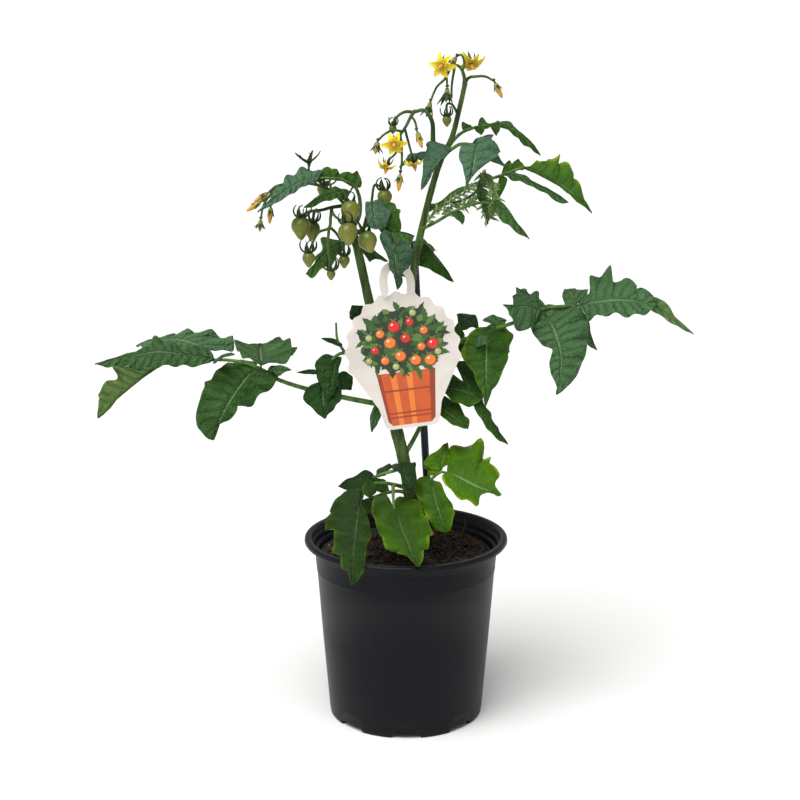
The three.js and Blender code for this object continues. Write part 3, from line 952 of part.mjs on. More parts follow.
const onTag = ([across, up, toward]) => {
  const [cos, sin] = [Math.cos(tag.turn), Math.sin(tag.turn)];
  const [middle, high, near] = tag.centre;
  return spot([middle + across * cos - up * sin, high + across * sin + up * cos, near + toward]);
};

function tagSolid() {
  const outline = new THREE.Shape(tagOutline().map((point) => new THREE.Vector2(...point)));
  const flat = new THREE.ExtrudeGeometry(outline, { depth: 1, bevelEnabled: false, steps: 1 });
  const place = flat.attributes.position;
  for (let i = 0; i < place.count; i += 1) {
    const point = onTag([place.getX(i), place.getY(i), 0]);
    place.setXYZ(i, point.x, point.y + (0.5 - place.getZ(i)) * tag.thickness, point.z);
  }
  let card = solidOf(flat);
  if (card.volume() < 0) card = solidOf(flipped(flat));
  const curve = new THREE.CatmullRomCurve3(tag.hook.map(onTag), false, 'centripetal');
  const steps = 7;
  const rows = [];
  for (let i = 0; i <= steps; i += 1) {
    const centre = curve.getPointAt(i / steps);
    const along = curve.getTangentAt(i / steps);
    const side = new THREE.Vector3().crossVectors(along, new THREE.Vector3(0, -1, 0)).normalize();
    rows.push([-1, 0, 1].map((sign) => centre.clone().addScaledVector(side, sign * tag.hookHalf)));
  }
  return card.add(plateSolid(rows, new THREE.Vector3(0, tag.thickness, 0)));
}

addPiece('tag', tagSolid(), finishes.card);

const clearOfStems = (solid) => largest(solid.subtract(stemSpace));
for (const [name, leaf] of Object.entries(leaves)) {
  addPiece(name, clearOfStems(leafSolid(leaf)), finishes.leaf);
}
for (const [name, truss] of Object.entries(trusses)) {
  addPiece(name, clearOfStems(trussSolid(truss)), finishes.truss);
  for (const { at, dir, fruit, bloom } of truss.ends) {
    if (fruit) addPiece(fruit.name, fruitSolid({ at, dir, ...fruit }), finishes.fruit);
    if (bloom) addPiece(bloom.name, bloomSolid({ at, dir, ...bloom }), finishes.petal);
  }
}

export default plant;
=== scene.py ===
import math
import random

import bmesh
import bpy
from mathutils import Matrix, Vector, noise
from mathutils.geometry import interpolate_bezier


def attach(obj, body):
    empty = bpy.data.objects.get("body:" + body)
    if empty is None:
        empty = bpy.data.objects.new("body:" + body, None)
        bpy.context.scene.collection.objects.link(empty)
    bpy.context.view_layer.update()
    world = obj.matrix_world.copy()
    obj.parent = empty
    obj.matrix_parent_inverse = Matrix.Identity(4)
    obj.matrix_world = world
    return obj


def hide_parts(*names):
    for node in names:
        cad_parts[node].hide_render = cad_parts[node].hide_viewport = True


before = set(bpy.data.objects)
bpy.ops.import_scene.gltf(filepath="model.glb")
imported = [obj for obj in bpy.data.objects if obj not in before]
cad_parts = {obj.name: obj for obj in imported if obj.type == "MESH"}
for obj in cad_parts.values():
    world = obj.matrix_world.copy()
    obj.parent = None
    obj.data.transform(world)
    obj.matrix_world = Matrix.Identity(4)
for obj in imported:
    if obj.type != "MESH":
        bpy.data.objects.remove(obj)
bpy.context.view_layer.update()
mm = 0.001
print("frame loaded:", len(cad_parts), "nodes")

# Places are read from the front as (across, up, toward), in millimetres.
# A point moved toward the viewpoint keeps its place in the front view.
viewpoint = Vector((-4.2, -1041, 470))


def spot(place):
    across, up, toward = place
    return Vector((across, 0, up)).lerp(viewpoint, toward / -viewpoint.y) * mm


def facing(look):
    right, up, toward = look
    return Vector((right, -toward, up)).normalized()


def linear(colour):
    # hex colour as the screen shows it, to linear light
    parts = [int(colour[i:i + 2], 16) / 255 for i in (0, 2, 4)]
    return (*[part / 12.92 if part < 0.04045 else ((part + 0.055) / 1.055) ** 2.4 for part in parts], 1)


def addObject(name, data):
    made = bpy.data.objects.new(name, data)
    bpy.context.collection.objects.link(made)
    return made


# Small helpers for materials


def newMaterial(name):
    material = bpy.data.materials.new(name)
    material.use_nodes = True
    tree = material.node_tree
    shader = tree.nodes["Principled BSDF"]
    return material, tree, shader


def feed(tree, value, socket):
    if isinstance(value, bpy.types.NodeSocket):
        tree.links.new(value, socket)
    else:
        socket.default_value = value


def maths(tree, operation, *values, clamp=False):
    made = tree.nodes.new("ShaderNodeMath")
    made.operation = operation
    made.use_clamp = clamp
    for value, socket in zip(values, made.inputs):
        feed(tree, value, socket)
    return made.outputs[0]


def times(tree, first, second, clamp=False):
    return maths(tree, "MULTIPLY", first, second, clamp=clamp)


def plus(tree, first, second):
    return maths(tree, "ADD", first, second)


def minus(tree, first, second, clamp=False):
    return maths(tree, "SUBTRACT", first, second, clamp=clamp)


def centred(tree, value, amount):
    # a noise value turned to swing round zero
    return times(tree, minus(tree, value, 0.5), amount)


def spread(tree, value, low, high, outLow=0.0, outHigh=1.0):
    made = tree.nodes.new("ShaderNodeMapRange")
    made.interpolation_type = "SMOOTHSTEP"
    for item, socket in zip((value, low, high, outLow, outHigh), made.inputs):
        feed(tree, item, socket)
    return made.outputs[0]


def mixColours(tree, share, first, second):
    made = tree.nodes.new("ShaderNodeMix")
    made.data_type = "RGBA"
    feed(tree, share, made.inputs[0])
    feed(tree, first, made.inputs[6])
    feed(tree, second, made.inputs[7])
    return made.outputs[2]


def grain(tree, scale, detail=3.0, roughness=0.55, stretch=None):
    # noise in object space, scale in patches per metre
    place = tree.nodes.new("ShaderNodeTexCoord").outputs["Object"]
    if stretch:
        turned = tree.nodes.new("ShaderNodeMapping")
        turned.inputs["Scale"].default_value = stretch
        tree.links.new(place, turned.inputs["Vector"])
        place = turned.outputs[0]
    made = tree.nodes.new("ShaderNodeTexNoise")
    made.inputs["Scale"].default_value = scale
    made.inputs["Detail"].default_value = detail
    made.inputs["Roughness"].default_value = roughness
    tree.links.new(place, made.inputs["Vector"])
    return made.outputs["Fac"]


def attribute(tree, name):
    made = tree.nodes.new("ShaderNodeAttribute")
    made.attribute_name = name
    return made.outputs["Fac"]


def surfaceMap(tree, name):
    made = tree.nodes.new("ShaderNodeUVMap")
    made.uv_map = name
    return made.outputs[0]


def parted(tree, vector):
    # a vector's three parts
    made = tree.nodes.new("ShaderNodeSeparateXYZ")
    tree.links.new(vector, made.inputs[0])
    return made.outputs


def relief(tree, shader, height, strength, distance):
    made = tree.nodes.new("ShaderNodeBump")
    made.inputs["Strength"].default_value = strength
    made.inputs["Distance"].default_value = distance
    tree.links.new(height, made.inputs["Height"])
    tree.links.new(made.outputs[0], shader.inputs["Normal"])


def dress(tree, shader, colour, roughness, levels):
    # colour and roughness come from nodes, the other levels are plain values
    tree.links.new(colour, shader.inputs["Base Color"])
    tree.links.new(roughness, shader.inputs["Roughness"])
    for name, level in levels.items():
        shader.inputs[name].default_value = level


veins = {
    "climb": 0.5, "peak": 0.72, "drift": 0.3, "wobble": 2.2, "mainWidth": 0.05, "betweenWidth": 0.035,
    "between": 0.7, "fineWidth": 0.05, "fine": 0.25, "midribWidth": 0.055,
}


# Veins of a leaflet, from its own map: x counts lobes from the base, y runs from edge to edge.
def makeVeinGroup():
    group = bpy.data.node_groups.new("leafVeins", "ShaderNodeTree")
    group.interface.new_socket(name="Map", in_out="INPUT", socket_type="NodeSocketVector")
    for name, way in (("Width", "INPUT"), ("Vein", "OUTPUT"), ("Midrib", "OUTPUT"), ("Pillow", "OUTPUT")):
        group.interface.new_socket(name=name, in_out=way, socket_type="NodeSocketFloat")
    start = group.nodes.new("NodeGroupInput")
    end = group.nodes.new("NodeGroupOutput")
    wobble = group.nodes.new("ShaderNodeTexNoise")
    wobble.inputs["Scale"].default_value = veins["wobble"]
    wobble.inputs["Detail"].default_value = 1.0
    group.links.new(start.outputs["Map"], wobble.inputs["Vector"])
    parts = parted(group, start.outputs["Map"])
    out = maths(group, "ABSOLUTE", parts[1])
    drift = centred(group, wobble.outputs["Fac"], veins["drift"])
    # side veins leave the midrib low and reach the tips of the lobes
    climb = times(group, minus(group, 1.0, out), veins["climb"])
    along = plus(group, plus(group, parts[0], climb), drift)

    def fromMiddle(value):
        return maths(group, "ABSOLUTE", minus(group, maths(group, "FRACT", value), 0.5))

    def lines(shift, count, width):
        apart = fromMiddle(plus(group, times(group, along, count), shift))
        thin = times(group, minus(group, 1.15, out), width)
        reach = times(group, thin, start.outputs["Width"])
        return minus(group, 1.0, maths(group, "DIVIDE", apart, reach), clamp=True)

    main = lines(0.5 - veins["peak"], 1.0, veins["mainWidth"])
    between = times(group, lines(1.0 - veins["peak"], 1.0, veins["betweenWidth"]), veins["between"])
    fine = times(group, lines(0.2, 3.0, veins["fineWidth"]), veins["fine"])
    reach = times(group, start.outputs["Width"], veins["midribWidth"])
    midrib = minus(group, 1.0, maths(group, "DIVIDE", out, reach), clamp=True)
    group.links.new(maths(group, "MAXIMUM", maths(group, "MAXIMUM", main, between), fine), end.inputs["Vein"])
    group.links.new(midrib, end.inputs["Midrib"])
    # a swelling between each two side veins
    apart = fromMiddle(plus(group, times(group, along, 2.0), 0.5 - 2 * veins["peak"]))
    swell = maths(group, "POWER", times(group, apart, 2.0), 0.6)
    beside = spread(group, out, 0.0, 0.2)
    group.links.new(times(group, swell, beside), end.inputs["Pillow"])
    return group


veinGroup = makeVeinGroup()

# leaf colours; dark is also the painted shade in the grooves and along the fine net's creases
leafPaint = {
    "dark": "142410", "mid": "203f15", "light": "537a47", "fresh": "3c6002", "margin": "93a820",
    "paintedSheen": "476351", "vein": "6f9356", "midrib": "8aa86c", "under": "7a9a52", "underVein": "a9c080",
    "patches": 0.45, "creaseShade": 0.5, "netShade": 0.3, "netScale": 330, "relief": 0.0013,
}


def paintLeaf(name, under):
    material, tree, shader = newMaterial(name)
    surface = surfaceMap(tree, "blade")
    lines = tree.nodes.new("ShaderNodeGroup")
    lines.node_tree = veinGroup
    tree.links.new(surface, lines.inputs["Map"])
    lines.inputs["Width"].default_value = 1.4 if under else 1.0
    vein, midrib, pillow = [lines.outputs[key] for key in ("Vein", "Midrib", "Pillow")]
    tone, margin = attribute(tree, "tone"), attribute(tree, "margin")
    patches = grain(tree, 55, 4)
    mesh = grain(tree, 900, 2)
    place = tree.nodes.new("ShaderNodeTexCoord").outputs["Object"]
    net = tree.nodes.new("ShaderNodeTexVoronoi")
    net.feature = "DISTANCE_TO_EDGE"
    net.inputs["Scale"].default_value = leafPaint["netScale"]
    tree.links.new(place, net.inputs["Vector"])
    netCreaseShade = spread(tree, net.outputs["Distance"], 0.0, 0.14, 1.0, 0.0)
    domes = spread(tree, net.outputs["Distance"], 0.0, 0.45)
    dark, mid, light = [linear(leafPaint[key]) for key in ("dark", "mid", "light")]
    level = plus(tree, tone, centred(tree, patches, leafPaint["patches"]))
    low = mixColours(tree, times(tree, level, 2.0, clamp=True), dark, mid)
    high = times(tree, minus(tree, level, 0.5), 2.0, clamp=True)
    colour = mixColours(tree, high, low, light)
    # the underside is paler: partly its own colour, partly painted light, as from a bright ground below
    if under:
        colour = mixColours(tree, 0.75, colour, linear(leafPaint["under"]))
    # the pale grown leaves are quilted, with painted shade in the grooves between the swellings; the dark and
    # the young ones nearly smooth and unshaded
    grown = minus(tree, tone, times(tree, margin, 0.5))
    quilt = spread(tree, grown, 0.0, 0.5, 0.3, 1.0)
    creaseShade = times(tree, minus(tree, 0.5, times(tree, pillow, leafPaint["creaseShade"])), quilt)
    colour = mixColours(tree, creaseShade, colour, dark)
    # painted shade along the fine net's sunken lines as well
    colour = mixColours(tree, times(tree, netCreaseShade, times(tree, quilt, leafPaint["netShade"])), colour, dark)
    # a margin below zero mixes in a grey-blue painted sheen, as light from above shows on the leaves that
    # face up
    paintedSheen = times(tree, margin, -0.7, clamp=True)
    colour = mixColours(tree, paintedSheen, colour, linear(leafPaint["paintedSheen"]))
    # fresh green toward the edge of the young leaves, yellow at the very edge
    out = maths(tree, "ABSOLUTE", parted(tree, surface)[1])
    uneven = centred(tree, patches, 1.6)
    fresh = spread(tree, plus(tree, out, uneven), 0.1, 1.1, 0.4)
    colour = mixColours(tree, times(tree, fresh, margin, clamp=True), colour, linear(leafPaint["fresh"]))
    edge = spread(tree, plus(tree, out, times(tree, uneven, 0.5)), 0.86, 1.06)
    yellow = times(tree, edge, times(tree, margin, 0.45), clamp=True)
    colour = mixColours(tree, yellow, colour, linear(leafPaint["margin"]))
    # veins stand out more on the lighter leaves
    clear = spread(tree, tone, 0.0, 0.7, 0.25, 1.0)
    drawn = times(tree, times(tree, vein, clear), 0.6 if under else 0.26)
    colour = mixColours(tree, drawn, colour, linear(leafPaint["underVein" if under else "vein"]))
    drawn = times(tree, times(tree, midrib, clear), 0.5)
    colour = mixColours(tree, drawn, colour, linear(leafPaint["midrib"]))
    dress(tree, shader, colour, plus(tree, times(tree, mesh, 0.2), 0.4), {
        "Specular IOR Level": 0.06, "Sheen Weight": 0.02, "Sheen Roughness": 0.5})
    # the ribs stand out on the underside and are sunk on top, with the blade domed between them
    ribs = maths(tree, "MAXIMUM", vein, midrib)
    if under:
        height = plus(tree, times(tree, ribs, 0.9), times(tree, domes, -0.25))
    else:
        sunk = minus(tree, times(tree, pillow, 0.9), times(tree, ribs, 0.4))
        height = plus(tree, sunk, times(tree, domes, 0.6))
    height = plus(tree, times(tree, height, quilt), times(tree, mesh, 0.15))
    relief(tree, shader, height, 1.0, leafPaint["relief"])
    return material


def paintStalk(name, low, high, sheen):
    # a hairy green stalk, streaked along its length
    material, tree, shader = newMaterial(name)
    streaks = grain(tree, 260, 3, stretch=(1, 1, 0.12))
    patches = grain(tree, 35, 3)
    hairs = grain(tree, 2400, 1)
    share = plus(tree, times(tree, streaks, 0.7), times(tree, patches, 0.3))
    colour = mixColours(tree, spread(tree, share, 0.35, 0.65), linear(low), linear(high))
    colour = mixColours(tree, spread(tree, hairs, 0.58, 0.75, 0.0, 0.3), colour, linear("7d8a5c"))
    dress(tree, shader, colour, plus(tree, times(tree, hairs, 0.2), 0.48), {
        "Specular IOR Level": 0.12, "Sheen Weight": sheen, "Sheen Roughness": 0.4})
    relief(tree, shader, plus(tree, streaks, times(tree, hairs, 0.5)), 0.4, 0.0004)
    return material


# greens from the shoulder down to the blossom end; the pale low green is partly painted light from below
fruitPaint = {"top": "33450f", "side": "54601a", "low": "7c7d36", "speck": "7f8240", "ripening": "706c28"}


def paintFruit():
    material, tree, shader = newMaterial("greenFruit")
    top, side, low, speck, ripening = [linear(colour) for colour in fruitPaint.values()]
    fall = parted(tree, surfaceMap(tree, "skin"))[1]
    patches = grain(tree, 90, 3)
    specks = grain(tree, 1500, 1)
    # a dark green shoulder, its own colour, paling to a lighter lower half that is painted light, as from
    # light below shining through the skin
    down = plus(tree, fall, centred(tree, patches, 0.3))
    colour = mixColours(tree, spread(tree, down, 0.1, 0.6), top, side)
    colour = mixColours(tree, spread(tree, down, 0.5, 0.95, 0.0, 0.9), colour, low)
    colour = mixColours(tree, spread(tree, specks, 0.62, 0.72, 0.0, 0.3), colour, speck)
    colour = mixColours(tree, attribute(tree, "tone"), colour, ripening)
    dress(tree, shader, colour, spread(tree, patches, 0.3, 0.7, 0.24, 0.36), {
        "Subsurface Weight": 0.15, "Subsurface Radius": (0.003, 0.003, 0.001), "Specular IOR Level": 0.3,
        "Coat Weight": 0.08, "Coat Roughness": 0.2})
    relief(tree, shader, specks, 0.12, 0.0003)
    return material


def paintPetal(name, base, tip):
    material, tree, shader = newMaterial(name)
    surface = surfaceMap(tree, "skin")
    stretched = tree.nodes.new("ShaderNodeMapping")
    stretched.inputs["Scale"].default_value = (0.6, 5, 1)
    tree.links.new(surface, stretched.inputs["Vector"])
    texture = tree.nodes.new("ShaderNodeTexNoise")
    texture.inputs["Scale"].default_value = 5
    tree.links.new(stretched.outputs[0], texture.inputs["Vector"])
    streaks = texture.outputs["Fac"]
    share = plus(tree, parted(tree, surface)[0], centred(tree, streaks, 0.9))
    colour = mixColours(tree, spread(tree, share, 0.05, 0.85), linear(base), linear(tip))
    dress(tree, shader, colour, spread(tree, streaks, 0.3, 0.7, 0.45, 0.62), {"Sheen Weight": 0.1})
    relief(tree, shader, streaks, 0.5, 0.0004)
    return material


potPaint = {"dark": "0a0b0f", "light": "0f1015", "dust": "262523"}


def paintPot():
    # black moulded plastic, dusty toward the foot
    material, tree, shader = newMaterial("potPlastic")
    clouds = grain(tree, 14, 4)
    dust = grain(tree, 420, 4, 0.7)
    height = parted(tree, tree.nodes.new("ShaderNodeTexCoord").outputs["Object"])[2]
    low = spread(tree, height, 0.0, 0.03, 0.7, 0.15)
    colour = mixColours(tree, clouds, linear(potPaint["dark"]), linear(potPaint["light"]))
    dusty = times(tree, spread(tree, dust, 0.5, 0.75), low)
    colour = mixColours(tree, dusty, colour, linear(potPaint["dust"]))
    rough = plus(tree, times(tree, clouds, 0.14), times(tree, dust, 0.12))
    dress(tree, shader, colour, plus(tree, rough, 0.27), {"Specular IOR Level": 0.12})
    relief(tree, shader, dust, 0.15, 0.0003)
    return material


def paintGround(name, dark, light, speck, amount):
    # a loose ground: clods of two tones with pale specks
    material, tree, shader = newMaterial(name)
    clods = grain(tree, 160, 5, 0.65)
    bits = grain(tree, 900, 2, 0.5)
    colour = mixColours(tree, spread(tree, clods, 0.38, 0.68), linear(dark), linear(light))
    colour = mixColours(tree, spread(tree, bits, 0.66, 0.74, 0.0, amount), colour, linear(speck))
    dress(tree, shader, colour, spread(tree, bits, 0.2, 0.8, 0.75, 0.95), {"Specular IOR Level": 0.12})
    relief(tree, shader, plus(tree, clods, times(tree, bits, 0.4)), 0.9, 0.0015)
    return material


stakePaint = {"dark": "060d14", "light": "0f1c28", "spot": "3a424c"}


def paintStake():
    # a dark coating, rubbed along its length
    material, tree, shader = newMaterial("stakeCoat")
    rub = grain(tree, 300, 3, stretch=(1, 1, 0.08))
    spots = grain(tree, 900, 2)
    dark, light, spotted = [linear(colour) for colour in stakePaint.values()]
    colour = mixColours(tree, spread(tree, rub, 0.35, 0.7), dark, light)
    colour = mixColours(tree, spread(tree, spots, 0.7, 0.78, 0.0, 0.3), colour, spotted)
    dress(tree, shader, colour, spread(tree, rub, 0.3, 0.7, 0.3, 0.5), {"Specular IOR Level": 0.3})
    relief(tree, shader, rub, 0.2, 0.0003)
    return material


def paintCard(name, colour, shade, gloss):
    # printed card with a faint paper grain
    material, tree, shader = newMaterial(name)
    fibre = grain(tree, 1600, 2)
    clouds = grain(tree, 45, 3)
    mixed = mixColours(tree, spread(tree, clouds, 0.3, 0.7), linear(colour), linear(shade))
    dress(tree, shader, mixed, spread(tree, fibre, 0.2, 0.8, gloss, gloss + 0.1), {})
    relief(tree, shader, fibre, 0.06, 0.0002)
    return material


bladeTop = paintLeaf("leafTop", under=False)
bladeUnder = paintLeaf("leafUnderside", under=True)
leafStalk = paintStalk("leafStalk", "33501f", "567536", 0.03)
mainStem = paintStalk("mainStem", "243714", "47602b", 0.04)
trussStalk = paintStalk("trussStalk", "24381b", "465f30", 0.03)
# the young shoots' pale grey-green: partly their own hairy colour, partly painted highlight of the light on
# their hairs
shootGreen = paintStalk("shootGreen", "4a6636", "87a167", 0.03)
sepalGreen = paintStalk("sepalGreen", "16260f", "2c4520", 0.03)
greenFruit = paintFruit()
petalYellow = paintPetal("petalYellow", "b89a03", "ecd40b")
coneOrange = paintPetal("antherCone", "b06c08", "cc9410")
budYellow = paintPetal("budYellow", "6b7a26", "c98f1c")
fadedPetal = paintPetal("fadedPetal", "5d6a24", "a8832c")
potPlastic = paintPot()
soilGround = paintGround("soilMix", "211f1e", "463f3a", "928a80", 0.5)
crumbGround = paintGround("soilCrumbs", "1c1816", "4a3e35", "9a9082", 0.4)
fibreGround = paintGround("soilFibres", "2e1d12", "6b4a30", "b29c7a", 0.5)
paleGround = paintGround("paleBits", "5f564a", "8f8676", "b5ad9e", 0.4)
stakeCoat = paintStake()
cardWhite = paintCard("cardWhite", "cfc8c0", "c2bbb2", 0.38)
hairPale = paintStalk("hairPale", "a9b98a", "cdd6b4", 0.2)
print("materials made:", len(bpy.data.materials))


# Shapes that more than one piece uses


def smoothPath(points, count):
    # even steps along a smooth curve through the points
    ends = [points[0] * 2 - points[1], *points, points[-1] * 2 - points[-2]]
    dense = []
    for before, here, there, after in zip(ends, ends[1:], ends[2:], ends[3:]):
        spans = ((before, here), (here, there), (there, after))
        first, middle, last = [(b - a).length ** 0.5 for a, b in spans]
        leave = (here - before) / first - (there - before) / (first + middle) + (there - here) / middle
        reach = (there - here) / middle - (after - here) / (middle + last) + (after - there) / last
        handles = (here + leave * middle / 3, there - reach * middle / 3)
        dense += interpolate_bezier(here, *handles, there, 14)[:-1]
    dense.append(points[-1])
    run = [0]
    for a, b in zip(dense, dense[1:]):
        run.append(run[-1] + (b - a).length)
    even = []
    k = 0
    for i in range(count + 1):
        target = run[-1] * i / count
        while k < len(run) - 2 and run[k + 1] < target:
            k += 1
        even.append(dense[k].lerp(dense[k + 1], (target - run[k]) / max(run[k + 1] - run[k], 1e-9)))
    return even


def stalkPath(points, first, last, count):
    # a smooth stalk that thins evenly along its length
    first, last = first * mm, last * mm
    radii = [first + (last - first) * (i / count) for i in range(count + 1)]
    return smoothPath(points, count), radii


def newLayers(bm):
    return {
        "blade": bm.loops.layers.uv.new("blade"),
        "tone": bm.verts.layers.float.new("tone"),
        "margin": bm.verts.layers.float.new("margin"),
    }


def growTube(bm, path, radii, sides=10, finish=0, tone=None, ridge=0.0):
    # a grid rolled round the path, with its ends filled
    steps = len(path) - 1
    grid = bmesh.ops.create_grid(bm, x_segments=sides, y_segments=steps, size=1)["verts"]
    tangents = [(path[min(i + 1, steps)] - path[max(i - 1, 0)]).normalized() for i in range(steps + 1)]
    across = [tangents[0].orthogonal().normalized()]
    for before, after in zip(tangents, tangents[1:]):
        across.append(before.rotation_difference(after) @ across[-1])
    for vert in grid:
        turn = (vert.co.x + 1) * math.pi
        step = round((vert.co.y + 1) / 2 * steps)
        out = across[step] * math.cos(turn) + tangents[step].cross(across[step]) * math.sin(turn)
        vert.co = path[step] + out * radii[step] * (1 + ridge * math.cos(turn * 3))
        if tone is not None:
            vert[bm.verts.layers.float["tone"]] = tone
    bmesh.ops.remove_doubles(bm, verts=grid, dist=1e-7)
    kept = [vert for vert in grid if vert.is_valid]
    faces = {face for vert in kept for face in vert.link_faces}
    openEdges = list({edge for face in faces for edge in face.edges if edge.is_boundary})
    faces |= set(bmesh.ops.holes_fill(bm, edges=openEdges)["faces"])
    bmesh.ops.recalc_face_normals(bm, faces=list(faces))
    for face in faces:
        face.material_index = finish
        face.smooth = True


def toObject(bm, name, materials, replaced, smooth=True):
    mesh = bpy.data.meshes.new(name)
    bm.to_mesh(mesh)
    bm.free()
    if smooth:
        mesh.shade_smooth()
    for material in materials:
        mesh.materials.append(material)
    made = addObject(name, mesh)
    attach(made, "root")
    if replaced:
        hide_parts(replaced)


# Leaves

leafletForm = {
    "lobePeak": 0.7, "cut": 0.3, "sweep": 0.3, "heart": 0.2, "tooth": 0.07, "peak": 0.1,
    "pillow": 0.4, "pillowFrom": 0.18, "valley": 0.5, "valleyWidth": 0.14, "fullWidth": 24,
    "buckle": 2.2, "buckleGrain": 45, "blister": 0.9, "blisterGrain": 190, "ruffle": 0.16,
    "ruffleGrain": 120, "droop": 0.22, "twist": 0.25, "ownShare": 0.35, "thickness": 0.35,
    "stalk": 0.75, "rib": 0.28, "ribSteps": 12, "step": 1.05, "veinGap": 11,
}


def leafletHalf(share, lobes, shift, sizes):
    # half width at a share of the length: pointed lobes that lean toward the tip, uneven in depth
    form = leafletForm
    if not 0 < share < 1:
        return 0.0
    body = math.sin(math.pi * share ** 0.72) ** 0.8 * (1 - 0.25 * share ** 4)
    if lobes < 2:
        return body * (1 + 0.05 * math.sin(share * 19 + shift * 9))
    place = max(0, share * lobes + shift)
    phase, peak = place % 1, form["lobePeak"]
    rise = (phase / peak) ** 0.85 if phase < peak else ((1 - phase) / (1 - peak)) ** 1.3
    number = min(int(place + 1 - peak), len(sizes) - 1)
    deep = form["cut"] * sizes[number]
    small = 0
    if phase < peak:
        small = form["tooth"] * (1 - (phase / peak * 3) % 1) * (phase / peak) ** 0.5
    return body * (1 - deep + deep * rise + form["peak"] * rise ** 6 * sizes[number] - small)


def leafletEdge(points, length, steps):
    # one side's own outline, from its [distance along, reach aside] points, kept from folding back
    line = [(0, 0), *points, (length / mm, 0)]
    edge = smoothPath([Vector((x, y, 0)) * mm for x, y in line], steps)
    for k in range(1, steps - 1):
        here, there = edge[k], edge[k + 1]
        ahead = (here.y - there.y) * (length * k / steps - here.x) / max(here.y, 0.1 * mm)
        there.x = max(there.x, here.x + ahead + 0.05 * mm)
    return edge


def thicken(bm, verts, faces, thickness):
    # a second skin along the sheet's own normals, joined round the edge
    for vert in verts:
        vert.normal_update()
    for item in bmesh.ops.extrude_face_region(bm, geom=faces)["geom"]:
        if isinstance(item, bmesh.types.BMVert):
            item.co += item.normal * thickness


